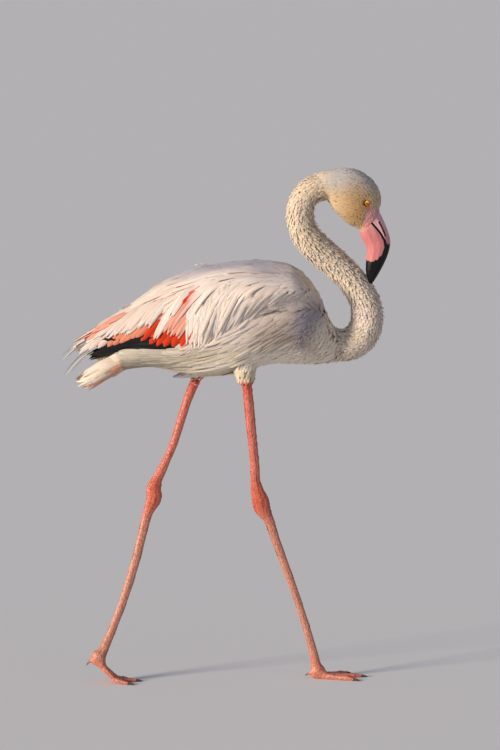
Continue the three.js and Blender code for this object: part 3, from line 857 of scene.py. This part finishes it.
x, y, z = ground.centre.T
on_neck = ground.tract == "neck"
low_neck = on_neck & (z < 0.73)
for name, here, seed in (("neck_tufts_low", low_neck, 11), ("neck_tufts_high", on_neck & ~low_neck, 21)):
    tufts(
        name, here, seed, down, "plumage", spacing=0.0024, length=0.0115, width=0.0040,
        depth=0.0004, lift=0.0027, twist=17.0, soft=0.68, follow=0.8, thick=0.05, clump=0.5,
        pitch=0.007, root_shade=0.60, spread=0.09)

# ----------------------------
# Head tufts: the smallest feathers of the bird, about 5 mm long at the bill and
# the eye and twice that on the nape, lying close from the bill back to the neck.
# ----------------------------
on_head = (ground.tract == "head") & ~bare_face(ground.centre)
from_bill = eased(0.27 - x + 0.6 * (z - 0.80), 0.0, 0.09)
head_stations = np.array([0.0, 0.3, 0.65, 0.9, 1.0])
head_outline = np.array([0.0, 0.9, 1.0, 0.55, 0.0])
tufts(
    "head_tufts", on_head, seed=12, material=down, slot="plumage", spacing=0.0016 + 0.0008 * from_bill,
    length=0.0050 + 0.0045 * from_bill, width=0.0026 + 0.0016 * from_bill, depth=0.0001,
    lift=0.0007 + 0.0013 * from_bill, stations=head_stations, outline=head_outline, twist=8.0,
    soft=0.8, spread=0.045, thick=0.05, root_shade=0.88)

# ----------------------------
# Body coat: rounded contour feathers of the crop, breast, back and belly, some
# 20 to 40 mm long, laid like slates from the neck to the tail.
# ----------------------------
contour = feather_material(
    "contour_feathers", streaks=0.4, roughness=0.8, sheen=0.15, relief_depth=0.0006)
under_edge = (x < -0.070) & (z > 0.584) & (z < 0.628) & (np.abs(y) > 0.015)
on_trunk = (ground.tract == "trunk") & ~under_edge
body_length = 0.022 + 0.014 * eased(-x, -0.16, 0.05)
tufts(
    "body_coat", on_trunk, seed=13, material=contour, slot="plumage",
    spacing=0.17 * body_length,
    length=body_length, width=0.32 * body_length, depth=0.0012, lift=0.0016, twist=9.0,
    soft=0.8, spread=0.03, clump=0.5, pitch=0.02)

# ----------------------------
# Crop down: the lower breast and the foot of the neck stand a little fluffed
# where the neck folds into the body.
# ----------------------------
on_crop = on_trunk & (patch(ground.centre, 0.150, 0.602, 0.030, 0.034, 0.0, 0.3) > 0.3)
tufts(
    "crop_down", on_crop, seed=23, material=down, slot="plumage",
    spacing=0.0042, length=0.0150, width=0.0050,
    depth=0.0008, lift=0.0045, twist=20.0, soft=0.5, clump=0.6, pitch=0.009)

# ----------------------------
# Thigh tufts: short down over the top of each leg, ending in a ragged edge
# where the bare shank begins.
# ----------------------------
on_thigh = (ground.tract == "thigh") & (z > 0.541)
tufts(
    "thigh_tufts", on_thigh, seed=14, material=down, slot="plumage",
    spacing=0.0030, length=0.0170, width=0.0044,
    depth=0.0008, lift=0.0024, twist=12.0, soft=0.6, clump=0.5, pitch=0.008)

# ----------------------------
# Wing coverts: overlapping rows of small rounded feathers at the wrist that
# grow longer and more pointed backwards and downwards.
# ----------------------------
on_wing = (ground.tract == "wing") & (x > -0.200) & ((x > -0.060) | (z > 0.640))
covert_length = 0.022 + 0.026 * eased(-x, -0.13, 0.02) - 0.018 * eased(-x, 0.15, 0.22)
for name, here, seed in (("wing_coverts_right", y < 0.0, 15), ("wing_coverts_left", y > 0.0, 25)):
    tufts(
        name, on_wing & here, seed, contour, "wing_feathers", spacing=0.15 * covert_length,
        length=covert_length, width=0.26 * covert_length, depth=0.0012, lift=0.0014,
        twist=8.0, soft=0.75, spread=0.03, clump=0.4, pitch=0.02)

# ----------------------------
# Scapular plumes: long silky blades rooted along the upper wing that fall
# over the coverts, some 50 to 120 mm long and 6 to 8 mm wide.
# ----------------------------
plume_stations = np.array([0.0, 0.08, 0.22, 0.38, 0.54, 0.70, 0.84, 0.95, 1.0])
plume_outline = np.array([0.0, 0.55, 0.85, 1.0, 1.0, 0.9, 0.7, 0.35, 0.0])
below_top = np.interp(x, wing_top_x, wing_top_z) - z
plume = feather_material("plumes", streaks=0.5, roughness=0.7, sheen=0.2, relief_depth=0.0008)
plume_root = on_wing & (x < 0.105) & (x > -0.050) & (below_top < 0.070) & (below_top > 0.004)
tufts(
    "scapular_plumes", plume_root, seed=17, material=plume, slot="wing_feathers",
    spacing=0.0056,
    length=0.058 + 0.046 * eased(0.06 - x, 0.0, 0.08), width=0.0070, depth=0.0008,
    lift=0.0036, stations=plume_stations, outline=plume_outline, twist=4.0, soft=0.5,
    spread=0.05, follow=0.35, hug=0.6, clump=0.8, pitch=0.016)

# ----------------------------
# Back plumes: a band of level, lavender blades along the top of the back that
# runs from the shoulders to the rump and closes over both wings.
# ----------------------------
back_root = np.isin(ground.tract, ["trunk", "wing"]) & (below_top < 0.014) & (x > -0.19) & (x < 0.10)
tufts(
    "back_plumes", back_root, seed=19, material=plume, slot="wing_feathers",
    spacing=0.0065, length=0.052,
    width=0.0085, depth=0.0016, lift=0.0012, stations=plume_stations, outline=plume_outline,
    twist=3.0, soft=0.65, spread=0.04, follow=0.3, hug=0.8, clump=0.5, pitch=0.02)

# ----------------------------
# Flank plumes: loose blades that fan out from under the wing's fold and sweep
# down and back over the belly.
# ----------------------------
flank_top = np.interp(x, [-0.12, -0.037, 0.034, 0.105, 0.15], [0.60, 0.61, 0.650, 0.680, 0.69])
flank_root = np.isin(ground.tract, ["trunk", "wing"]) & (x > -0.06) & (x < 0.128)
flank_root &= (z < flank_top) & (z > flank_top - 0.075) & (np.abs(y) > 0.03)
tufts(
    "flank_plumes", flank_root, seed=18, material=plume, slot="plumage",
    spacing=0.0064, length=0.066,
    width=0.0064, depth=0.0008, lift=0.0034, stations=plume_stations, outline=plume_outline,
    twist=4.0, soft=0.55, spread=0.05, follow=0.35, hug=0.7, clump=0.8, pitch=0.014)

# ----------------------------
# Tail coverts: soft rounded feathers over the root of the tail, laid close so
# that the tail's own blades come out from under them.
# ----------------------------
on_tail = (ground.tract == "tail") & (x > -0.196)
tufts(
    "tail_coverts", on_tail, seed=16, material=contour, slot="plumage",
    spacing=0.0048, length=0.0240,
    width=0.0080, depth=0.0010, lift=0.0016, twist=7.0, soft=0.7)

# ----------------------------
# Wing blades: the broad vanes of the folded wing, each laid from its root to its
# own tip on both sides. Coral under coverts come first, then the pale blades
# with their salmon streaks, and the curtain that hangs at the front.
# ----------------------------
broad_ring = np.array([
    (-1.0, -0.20), (-0.5, -0.04), (0.0, 0.04), (0.5, -0.04), (1.0, -0.20), (0.0, -0.12)])
broad_stations = np.array([0.0, 0.06, 0.2, 0.4, 0.6, 0.78, 0.9, 0.97, 1.0])
broad_outline = np.array([0.0, 0.45, 0.75, 0.95, 1.0, 0.92, 0.66, 0.34, 0.0])


def side_line(root, tip, bow, side, lift, stations):
    """A line on the side of the bird from root to tip, seen square from that side."""
    root = np.array(root)
    tip = np.array(tip)
    across = np.array([tip[1] - root[1], root[0] - tip[0]])
    line = np.zeros((len(stations), 3))
    up = np.zeros((len(stations), 3))
    last_y = None
    root_sink = 0.001
    for k, share in enumerate(stations):
        flat = root * (1.0 - share) + tip * share + across * bow * 4.0 * share * (1.0 - share)
        place, normal, _, _ = ground.tree.ray_cast(
            Vector((flat[0], side * 0.3, flat[1])), Vector((0.0, -side, 0.0)))
        if place is None:
            spot = ground.tree.find_nearest(
                Vector((flat[0], side * 0.03 if last_y is None else last_y, flat[1])))[0]
            place = Vector((flat[0], spot.y if last_y is None else last_y, flat[1]))
            normal = Vector(up[k - 1]) if k else Vector((0.0, side, 0.0))
        place = place + normal * (lift * (0.3 + 0.7 * share) - root_sink * (1.0 - share))
        last_y = place.y
        line[k] = place
        up[k] = normal
    return line, up


def hung(name, lines, ups, stations, widths, outline, tones, roll, soft, material,
         ring=broad_ring, thick=0.05):
    """One piece of feathers whose lines, half widths and colours are already drawn."""
    lines = np.array(lines)
    ups = np.array(ups)
    nearest = [ground.tree.find_nearest(Vector(line[0]))[2] for line in lines]
    colours = per_corner(tones * np.ones((1, len(stations), 1)), len(ring))
    piece = vanes(
        name, lines, ups, ups, stations, widths, outline, ring, widths * thick,
        colours, unwrapped(lines[:, 0], np.array(nearest)), roll, soft)
    piece.data.materials.append(material)
    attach(piece, "root")
    return piece


def blades(name, entries, material, seed, copies=1, stray=0.003, spread=0.05, soft=0.4,
           stations=broad_stations, outline=broad_outline, turn=5.0, far_drop=0.0):
    """entries: root x, z, tip x, z, bow, width and lift in millimetres, and the colour."""
    random = np.random.default_rng(seed)
    lines = []
    ups = []
    widths = []
    tones = []
    for side in (-1.0, 1.0):
        for entry in entries:
            for copy in range(copies):
                shift = random.normal(0.0, stray, 2) if copies > 1 or side > 0.0 else np.zeros(2)
                root = np.array(entry[0:2]) / 1000.0 + shift
                tip = np.array(entry[2:4]) / 1000.0 + shift * 1.2
                lift = entry[6] / 1000.0 * (1.0 + 0.08 * copy)
                if side > 0.0:
                    root[1] -= far_drop
                    tip[1] -= far_drop
                    lift *= 1.0 - 40.0 * far_drop
                line, up = side_line(root, tip, entry[4], side, lift, stations)
                lines.append(line)
                ups.append(up)
                widths.append(entry[5] / 2000.0 * random.uniform(0.85, 1.1))
                light = 1.0 + random.normal(0.0, spread)
                tones.append(linear(*entry[7]) * light)
    roll = np.radians(random.normal(0.0, turn, len(lines)))
    return hung(
        name, lines, ups, stations, np.array(widths), outline, np.array(tones)[:, None, :],
        roll, soft, material)


blade_outline = np.array([0.0, 0.45, 0.75, 0.95, 1.0, 0.84, 0.52, 0.24, 0.0])
pale = (234, 222, 212)
rose = (232, 204, 192)
pink = (230, 160, 140)
rear_pale = (221, 209, 200)
rear_rose = (223, 199, 186)
coral_red = (204, 54, 4)
salmon = (228, 142, 112)
under_wing = [
    (-64, 642, -88, 600, 0.02, 15, 3.1, coral_red), (-74, 644, -103, 599, 0.02, 15, 3.3, coral_red),
    (-84, 647, -117, 599, 0.02, 15, 3.5, coral_red), (-94, 652, -129, 600, 0.02, 15, 3.6, coral_red),
    (-100, 660, -141, 603, 0.02, 15, 3.4, coral_red), (-112, 662, -151, 612, 0.02, 14, 3.4, coral_red),
    (-70, 697, -100, 645, 0.02, 11, 3.5, coral_red), (-125, 655, -164, 615, 0.02, 14, 3.3, salmon),
    (-135, 652, -172, 613, 0.02, 14, 3.3, salmon), (-145, 648, -182, 609, 0.02, 14, 3.3, salmon),
    (-155, 644, -192, 605, 0.02, 14, 3.3, salmon), (-165, 640, -202, 601, 0.02, 14, 3.3, salmon),
    (-176, 636, -212, 598, 0.02, 13, 3.3, salmon), (-188, 634, -228, 595, 0.02, 12, 3.3, rose),
    (-200, 634, -243, 591, 0.02, 11, 3.3, rear_rose), (-208, 638, -256, 589, 0.02, 10, 3.5, rear_pale),
]
blades("under_coverts", under_wing, plume, seed=31, spread=0.06)
over_wing = [
    (-61, 690, -110, 629, 0.05, 11, 4.6, pink), (-64, 668, -100, 622, 0.05, 9, 4.2, pink),
    (-70, 706, -132, 618, 0.04, 9, 4.8, rose), (-64, 709, -126, 630, 0.05, 8, 4.6, pale),
    (-60, 712, -108, 655, 0.06, 7, 5.0, pale), (-84, 703, -140, 634, 0.03, 8, 4.4, rear_pale),
    (-94, 699, -156, 638, 0.03, 11, 4.2, rear_rose), (-104, 694, -166, 632, 0.03, 11, 4.4, rear_pale),
    (-112, 688, -176, 625, 0.03, 11, 4.4, rear_rose), (-122, 683, -186, 620, 0.03, 10, 4.2, rear_pale),
    (-134, 678, -199, 618, 0.03, 10, 4.2, rear_rose), (-146, 671, -213, 613, 0.03, 9, 4.2, rear_pale),
    (-156, 664, -232, 611, 0.03, 8, 4.2, rear_rose), (-166, 658, -248, 605, 0.03, 8, 4.0, rear_pale),
    (-192, 640, -266, 594, 0.02, 9, 3.4, rear_pale), (-200, 632, -262, 590, 0.02, 9, 3.4, rear_pale),
    (-176, 652, -262, 600, 0.02, 7, 3.8, rear_pale), (-190, 643, -264, 600, 0.02, 7, 3.6, rear_rose),
]
salmon_streaks = [
    (-168, 658, -212, 633, 0.02, 8, 6.2, pink), (-180, 651, -226, 624, 0.02, 9, 6.4, pink),
    (-194, 642, -240, 614, 0.02, 9, 6.4, pink), (-206, 632, -253, 605, 0.02, 8, 6.2, pink),
]
blades("salmon_blades", salmon_streaks, plume, seed=36, copies=3, stray=0.002,
       outline=blade_outline, spread=0.07, far_drop=0.006)
blades("wing_blades", over_wing, plume, seed=32, copies=5, stray=0.0034,
       outline=blade_outline, far_drop=0.004)
curtain = []
for step in range(15):
    t = step / 14.0
    curtain.append((-56 + 52 * t, 716 + 8 * t, -72 + 40 * t, 599 + 29 * t, 0.05, 7, 4.4, pale))
blades("wing_curtain", curtain, plume, seed=33, copies=3, stray=0.0035,
       outline=blade_outline)

# ----------------------------
# Flight feathers: the black quills of the folded wing, stiff pointed blades
# that show as a strip below the coverts and end past the rump.
# ----------------------------
quill_black = (34, 31, 34)
quills = [
    (-72, 606, -153, 616, 0.0, 10, 2.5, quill_black), (-80, 603, -180, 602, 0.0, 12, 2.7, quill_black),
    (-95, 604, -205, 597, 0.0, 13, 2.9, quill_black), (-110, 606, -222, 611, -0.02, 13, 3.1, quill_black),
    (-120, 606, -232, 594, 0.0, 14, 3.2, quill_black), (-130, 605, -243, 583, 0.01, 14, 3.3, quill_black),
    (-140, 604, -240, 574, 0.02, 14, 3.4, quill_black), (-100, 598, -228, 585, 0.02, 14, 3.0, quill_black),
    (-90, 597, -200, 588, 0.02, 13, 2.8, quill_black),
]
quill_stations = np.array([0.0, 0.05, 0.2, 0.4, 0.6, 0.76, 0.88, 0.96, 1.0])
quill_outline = np.array([0.0, 0.6, 0.9, 1.0, 0.95, 0.8, 0.55, 0.25, 0.0])
quill = feather_material("quills", streaks=0.4, roughness=0.45, sheen=0.0, relief_depth=0.0006)
flight = blades(
    "flight_feathers", quills, quill, seed=34, spread=0.10, soft=0.2,
    stations=quill_stations, outline=quill_outline, stray=0.001)
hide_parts(*quill_nodes)

# ----------------------------
# Rump plumes: blades that leave the flank, close over the lower edge of
# the flight feathers and run out along the tail; painted shade makes them
# grey-tan below and whiter upwards.
# ----------------------------
# painted shade: the lower rump blades grey-tan, the upper ones whiter
rump_shade_grey = (172, 161, 141)
rump_white = (214, 204, 188)
rump = []
for row in range(3):
    for step in range(9):
        t = step / 8.0
        stagger = 18.0 * ((step * 5) % 9) / 9.0
        start = -46 - 36 * row - stagger
        ends = []
        for along, level in ((start - 4 * t, 564 + 28 * t), (start - 62, 562 + 31 * t - row)):
            near = np.abs(x * 1000.0 - along) < 5.0
            ends += [along, max(level, z[near].min() * 1000.0 + 10.0)]
        shade = tuple(a + (b - a) * t for a, b in zip(rump_shade_grey, rump_white))
        rump.append((*ends, -0.02, 6, 3.4 + 0.8 * t, shade))
blades("rump_plumes", rump, plume, seed=35, copies=4, stray=0.0022, spread=0.10, soft=0.45,
       turn=14.0)

# ----------------------------
# Tail: creamy blades in three layers folded like a low roof, the outer ones
# washed with salmon, over the coverts and under the wing tips.
# ----------------------------
def tail_blades():
    random = np.random.default_rng(41)
    stations = broad_stations
    lowest_blade = 118.0
    root_reach = 0.022
    lines = []
    ups = []
    tones = []
    salmon_side = []
    layers = ((-0.150, -0.240, 9, 0.006), (-0.165, -0.260, 16, 0.006), (-0.165, -0.253, 12, 0.001))
    for layer, (first, last, size, tip_reach) in enumerate(layers):
        for number in range(size):
            fan = (number + 0.5) / size * 2.0 - 1.0
            angle = math.radians(fan * lowest_blade + random.normal(0.0, 3.0))
            end = last + 0.008 * (1.0 - abs(fan)) + random.normal(0.0, 0.005)
            out = Vector((0.0, math.sin(angle), math.cos(angle)))
            line = np.zeros((len(stations), 3))
            spread_end = tip_reach + random.uniform(0.0, 0.007 if tip_reach > 0.002 else 0.004)
            for k, share in enumerate(stations):
                at = first + (end - first) * share
                level = float(np.interp(at, [-0.27, -0.20, -0.15], [0.529, 0.563, 0.580]))
                core = Vector((at, 0.0, level))
                reach = root_reach + (spread_end - root_reach) * share
                hit = ground.tree.ray_cast(core + out * 0.12, -out)[0]
                if hit is not None and share < 0.5:
                    reach = max(reach, min((hit - core).dot(out), 0.034))
                line[k] = core + out * (reach + 0.0012 + 0.0006 * (1 - layer))
            lines.append(line)
            ups.append(np.tile(np.array(out), (len(stations), 1)))
            side = eased(abs(fan), 0.50, 0.70)
            salmon_side.append(side)
            tones.append(linear(244, 230, 212) * (1.0 - side) + linear(232, 164, 134) * side)
    pale_edge = eased(stations, 0.45, 0.85)[None, :, None]
    pale_edge = pale_edge * (1.0 - 0.6 * np.array(salmon_side))[:, None, None]
    tones = np.array(tones)[:, None, :] * (1.0 - pale_edge) + linear(244, 230, 216) * pale_edge
    roll = np.radians(random.normal(6.0, 3.0, len(lines)))
    hung(
        "tail_feathers", lines, ups, stations, np.full(len(lines), 0.0060), quill_outline,
        tones, roll, 0.2, plume)


tail_blades()

# ----------------------------
# Tail sides: the outermost pair of tail blades on each side, peach below and
# cream above, that close the roof of the tail along its lower edge.
# ----------------------------
tail_cream = (238, 218, 196)
tail_peach = (234, 170, 138)
tail_sides = [
    (-176, 562, -242, 527, 0.0, 12, 3.4, tail_peach), (-172, 567, -250, 524, 0.0, 12, 3.2, tail_peach),
    (-168, 573, -256, 527, 0.0, 12, 3.0, tail_cream), (-162, 579, -262, 530, 0.0, 12, 2.8, tail_cream),
    (-158, 584, -258, 537, 0.0, 12, 2.6, tail_cream),
]
blades("tail_sides", tail_sides, plume, seed=37, copies=2, stray=0.0018, spread=0.06, soft=0.3,
       stations=quill_stations, outline=quill_outline)

# ----------------------------
# Loose ends: a few thread-thin plume tips that trail past the wings, two small
# raised tufts on the ridge of the back, and a lobe of belly down on the left.
# ----------------------------
def loose_strands(name, strands, width, colour, seed, material, face_up=False):
    """strands: start, middle and end point in millimetres."""
    random = np.random.default_rng(seed)
    share = plume_stations[:, None]
    lines = []
    for strand in strands:
        a, b, c = np.array(strand) / 1000.0
        lines.append(a * (1.0 - share) ** 2 + b * 2.0 * share * (1.0 - share) + c * share ** 2)
    lines = np.array(lines)
    count = len(lines)
    ups = np.zeros_like(lines)
    ups[..., 1] = np.where(lines[:, :1, 1] < 0.0, -1.0, 1.0)
    ups[..., 2] = 0.5
    if face_up:
        ups[...] = (-0.35, -0.3, 0.9)
    widths = width / 2.0 * random.uniform(0.8, 1.2, count)
    tones = linear(*colour) * (1.0 + random.normal(0.0, 0.05, (count, 1, 1)))
    roll = np.radians(random.normal(0.0, 12.0, count))
    hung(
        name, lines, unit(ups), plume_stations, widths, plume_outline, tones, roll, 0.3,
        material, ring=tuft_ring, thick=0.1)


threads = []
for side in (-1.0, 1.0):
    threads += [
        ((-240, 17 * side, 606), (-268, 15 * side, 600), (-290, 14 * side, 574)),
        ((-238, 16 * side, 604), (-262, 14 * side, 598), (-282, 13 * side, 580)),
        ((-236, 13 * side, 590), (-262, 11 * side, 578), (-284, 9 * side, 545)),
        ((-234, 12 * side, 588), (-258, 9 * side, 574), (-274, 7 * side, 552)),
    ]
loose_strands(
    "wing_threads", threads, width=0.0018, colour=(214, 206, 200), seed=42, material=plume)
ridge = []
for number in range(14):
    ridge.append((
        (-28 - 1.2 * number, -4 + 0.6 * number, 730), (-34 - 1.3 * number, -4 + 0.6 * number, 737),
        (-39 - 1.2 * number, -5 + 0.8 * number, 738 - 0.5 * number)))
for number in range(12):
    ridge.append((
        (-162 - 1.2 * number, -4 + 0.7 * number, 663 - 0.6 * number),
        (-168 - 1.2 * number, -4 + 0.7 * number, 671 - 0.6 * number),
        (-175 - 1.3 * number, -5 + 0.9 * number, 668 - 0.9 * number)))
loose_strands(
    "ridge_tufts", ridge, width=0.0017, colour=(222, 216, 216), seed=43, material=down,
    face_up=True)
lobe = []
lobe_random = np.random.default_rng(44)
for number in range(46):
    t = lobe_random.random()
    across = 18.0 + 26.0 * lobe_random.random()
    lobe.append((
        (-8 - 40 * t, across, 552 - 3 * t), (-30 - 40 * t, across + 1, 541 - 3 * lobe_random.random()),
        (-46 - 38 * t - 6 * lobe_random.random(), across, 533 + 6 * lobe_random.random() * (1 - t))))
# painted shade: the far-side belly lobe lavender-grey
loose_strands(
    "belly_lobe", lobe, width=0.0075, colour=(214, 208, 214), seed=45, material=plume)

# ----------------------------
# Bill: a deep pink trough below and a thin lid above, bent down in the middle,
# with a black tip, a black cutting edge and long narrow nostrils in painted
# shade, and a painted highlight along the gape. Hard horn.
# ----------------------------
gape = np.array([
    (0.243, 0.816), (0.252, 0.807), (0.262, 0.796), (0.271, 0.785), (0.278, 0.773), (0.281, 0.760),
    (0.277, 0.746), (0.269, 0.731), (0.261, 0.715), (0.254, 0.701), (0.252, 0.685)])


def away_from(points, path):
    """Distance in the bird's side view from each point to a path."""
    flat = points[:, [0, 2]]
    nearest = np.full(len(flat), 1.0)
    for a, b in zip(path[:-1], path[1:]):
        step = b - a
        share = np.clip(((flat - a) @ step) / (step @ step), 0.0, 1.0)
        nearest = np.minimum(nearest, np.linalg.norm(flat - a - share[:, None] * step, axis=1))
    return nearest


nostril_path = np.array([(0.2665, 0.8050), (0.2715, 0.7960), (0.2760, 0.7850), (0.2775, 0.7800)])


grain, enter, leave = new_group(
    "grain",
    {"Tint": "Color", "Place": "Vector", "Scale": "Float", "Detail": "Float", "Low": "Float",
     "High": "Float", "Darkest": "Float", "Lightest": "Float"},
    {"Color": "Color", "Height": "Float"})
cloud = added(grain, "TexNoise", {
    "Vector": enter["Place"], "Scale": enter["Scale"], "Detail": enter["Detail"]})["Fac"]
tone = ranged(grain, cloud, enter["Low"], enter["High"], enter["Darkest"], enter["Lightest"])
speckled = multiplied(grain, share=1.0, colour=enter["Tint"], tone=tone)
set_inputs(grain, leave, {"Color": speckled, "Height": cloud})


def grained(tree, place, **values):
    """The grain's outputs over a piece's own tint."""
    tint = added(tree, "VertexColor", {}, layer_name="tint")["Color"]
    return added(tree, "Group", {"Tint": tint, "Place": place, **values}, node_tree=grain)


def horn_material(name, roughness, coat):
    material, tree, shader = new_material(name)
    place = added(tree, "TexCoord", {})["Object"]
    stretched = added(tree, "Mapping", {"Vector": place, "Scale": (1.0, 1.0, 0.3)})["Vector"]
    mottle = grained(
        tree, stretched, Scale=240.0, Detail=5.0, Low=0.3, High=0.7, Darkest=0.84, Lightest=1.06)
    set_inputs(tree, shader, {
        "Roughness": roughness, "Specular IOR Level": 0.3, "Coat Weight": coat,
        "Coat Roughness": 0.25, "Base Color": mottle["Color"],
        "Normal": bumped(tree, mottle["Height"], strength=0.35, distance=0.0004)})
    return material


bill_horn = horn_material("bill_horn", roughness=0.42, coat=0.08)


def bill_half(node, upper):
    piece = copied_solids([node], node + "_horn")
    with_modifier(piece, "REMESH", mode="VOXEL", voxel_size=0.0006)
    with_modifier(piece, "SMOOTH", factor=0.5, iterations=14)
    places = corner_places(piece)
    normals = corner_normals(piece)
    to_head = normals @ -bill_way
    closing = 0.0014 * eased(to_head, 0.3, 0.8) * (places[:, 2] > 0.775)
    places -= closing[:, None] * bill_way
    side = np.abs(places[:, 1] - bird_middle)
    slit = away_from(places, nostril_path)
    edge = away_from(places, gape)
    if upper:
        groove = 0.0011 * (1.0 - eased(slit, 0.0006, 0.0016)) * (side > 0.004)
        ridge = 0.0005 * np.exp(-((slit - 0.0028) / 0.0010) ** 2) * (side > 0.004)
        places = places - normals * (groove - ridge)[:, None]
    else:
        lip = 0.0006 * np.exp(-((edge - 0.0014) / 0.0010) ** 2)
        places = places + normals * lip[:, None]
    set_places(piece, places)
    x, y, z = places.T
    border = np.interp(x, tip_border_x, tip_border_z)
    border = border + 0.0012 * np.sin(x * 900.0) * np.cos(y * 500.0)
    black_tip = 1.0 - eased(z, border - 0.0008, border + 0.0008)
    if upper:
        base = linear(230, 170, 174)
        # painted shade: the nostril slits darkened
        slit_shade = (1.0 - eased(slit, 0.0011, 0.0018)) * (side > 0.004)
        layers = (
            (1.0 - eased(z, 0.772, 0.795), (218, 138, 142)),
            (1.0 - eased(side, 0.002, 0.006), (176, 122, 130)),
            (black_tip, (8, 7, 9)),
            # painted highlight: a pale line on the lid along the gape
            ((1.0 - eased(edge, 0.0010, 0.0018)) * (z > 0.766) * 0.8, (240, 212, 206)),
            (slit_shade, (48, 30, 34)),
        )
    else:
        base = linear(210, 126, 128)
        reach = 0.0034 + 0.0018 * (1.0 - eased(z, 0.752, 0.790))
        band = (1.0 - eased(edge, reach, reach + 0.0007)) * (1.0 - eased(z, 0.806, 0.814))
        layers = (
            (eased(z, 0.780, 0.812), (222, 160, 152)),
            (black_tip, (8, 7, 9)),
            (band * (z > 0.69), (14, 11, 14)),
        )
    colours = np.tile(base, (len(places), 1))
    for share, colour in layers:
        colours = blended(colours, share, linear(*colour))
    painted(piece, "tint", colours)
    chosen(piece)
    bpy.ops.object.shade_smooth()
    piece.data.materials.append(bill_horn)
    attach(piece, "root")
    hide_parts(node)


tip_border_x = [0.236, 0.244, 0.253, 0.262, 0.269, 0.275, 0.279, 0.292]
tip_border_z = [0.7365, 0.7375, 0.7350, 0.7385, 0.7450, 0.7550, 0.7640, 0.7680]
bill_half("bill_lower", False)
bill_half("bill_upper", True)

# ----------------------------
# Eyes: a wet, glossy ball set in a ring of bare orange skin, with a yellow iris
# that darkens to orange at its rim and a small round pupil.
# ----------------------------
iris_wet, tree, shader = new_material("iris_wet")
fibres = grained(
    tree, added(tree, "TexCoord", {})["Object"],
    Scale=1400.0, Detail=3.0, Low=0.0, High=1.0, Darkest=0.72, Lightest=1.15)
set_inputs(tree, shader, {
    "Roughness": 0.25, "Coat Weight": 1.0, "Coat Roughness": 0.03, "Base Color": fibres["Color"]})
iris_rings = (
    (0.0051, (200, 112, 30)), (0.0044, (244, 176, 40)), (0.0028, (252, 208, 84)), (0.0014, (10, 9, 10)))


def eye(node, side):
    low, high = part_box(node)
    centre = (low + high) / 2.0
    gaze = Vector((-0.20, side, -0.16))
    gaze_turn = gaze.to_track_quat("Z", "Y").to_euler()
    axis = np.array(gaze.normalized())
    bpy.ops.object.select_all(action="DESELECT")
    bpy.ops.mesh.primitive_uv_sphere_add(segments=48, ring_count=40, radius=0.0079, location=centre)
    ball = bpy.context.object
    ball.name = node + "_ball"
    ball.rotation_euler = gaze_turn
    bpy.ops.object.transform_apply(location=True, rotation=True, scale=True)
    away = corner_places(ball) - np.array(centre)
    ahead = away @ axis
    out = np.linalg.norm(away - ahead[:, None] * axis, axis=1)
    colours = np.tile(linear(50, 28, 22), (len(away), 1))
    for reach, colour in iris_rings:
        colours[(ahead > 0.0) & (out < reach)] = linear(*colour)
    painted(ball, "tint", colours)
    bpy.ops.object.shade_smooth()
    ball.data.materials.append(iris_wet)
    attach(ball, "root")
    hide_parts(node)
    bpy.ops.object.select_all(action="DESELECT")
    bpy.ops.mesh.primitive_torus_add(
        major_radius=0.0053, minor_radius=0.0006, major_segments=56, minor_segments=14,
        location=centre + Vector(axis) * 0.0066)
    lid = bpy.context.object
    lid.name = node + "_lid"
    lid.rotation_euler = gaze_turn
    lid.scale = (1.0, 0.94, 1.0)
    bpy.ops.object.transform_apply(location=True, rotation=True, scale=True)
    places = corner_places(lid)
    wrinkle = 0.00012 * np.sin(np.arctan2(places[:, 2] - centre.z, places[:, 0] - centre.x) * 17.0)
    places[:, 1] += side * wrinkle
    set_places(lid, places)
    painted(lid, "tint", np.tile(linear(176, 96, 52), (len(places), 1)))
    bpy.ops.object.shade_smooth()
    lid.data.materials.append(skin_hide)
    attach(lid, "root")


eye("eye_right", -1.0)
eye("eye_left", 1.0)

# ----------------------------
# Claws: eight short, blunt, curved nails of dark brown horn, one at the end of
# each toe, thickest at the root and slightly worn at the tip.
# ----------------------------
claw_nodes = [
    "claw_" + toe + "_" + side
    for side in ("left", "right") for toe in ("outer", "middle", "inner", "hind")]
claw_horn = horn_material("claw_horn", roughness=0.4, coat=0.2)
claws = copied_solids(claw_nodes, "claws")
with_modifier(claws, "REMESH", mode="VOXEL", voxel_size=0.0004)
with_modifier(claws, "SMOOTH", factor=0.5, iterations=8)
places = corner_places(claws)
for foot_side, (hub_x, hub_z) in foot_hubs.items():
    low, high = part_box("claw_hind_" + foot_side)
    middle = (low + high) / 2.0
    to_hub = (Vector((hub_x, middle.y, hub_z)) - middle).normalized()
    root = np.array(middle + to_hub * (high - low).length * 0.35)
    inside = np.all((places > np.array(low) - 0.0006) & (places < np.array(high) + 0.0006), axis=1)
    places[inside] = root + (places[inside] - root) * 0.7
set_places(claws, places)
painted(claws, "tint", np.tile(linear(96, 70, 60), (len(places), 1)))
chosen(claws)
bpy.ops.object.shade_smooth()
claws.data.materials.append(claw_horn)
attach(claws, "root")
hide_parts(*claw_nodes)

bpy.data.objects.remove(body_form)
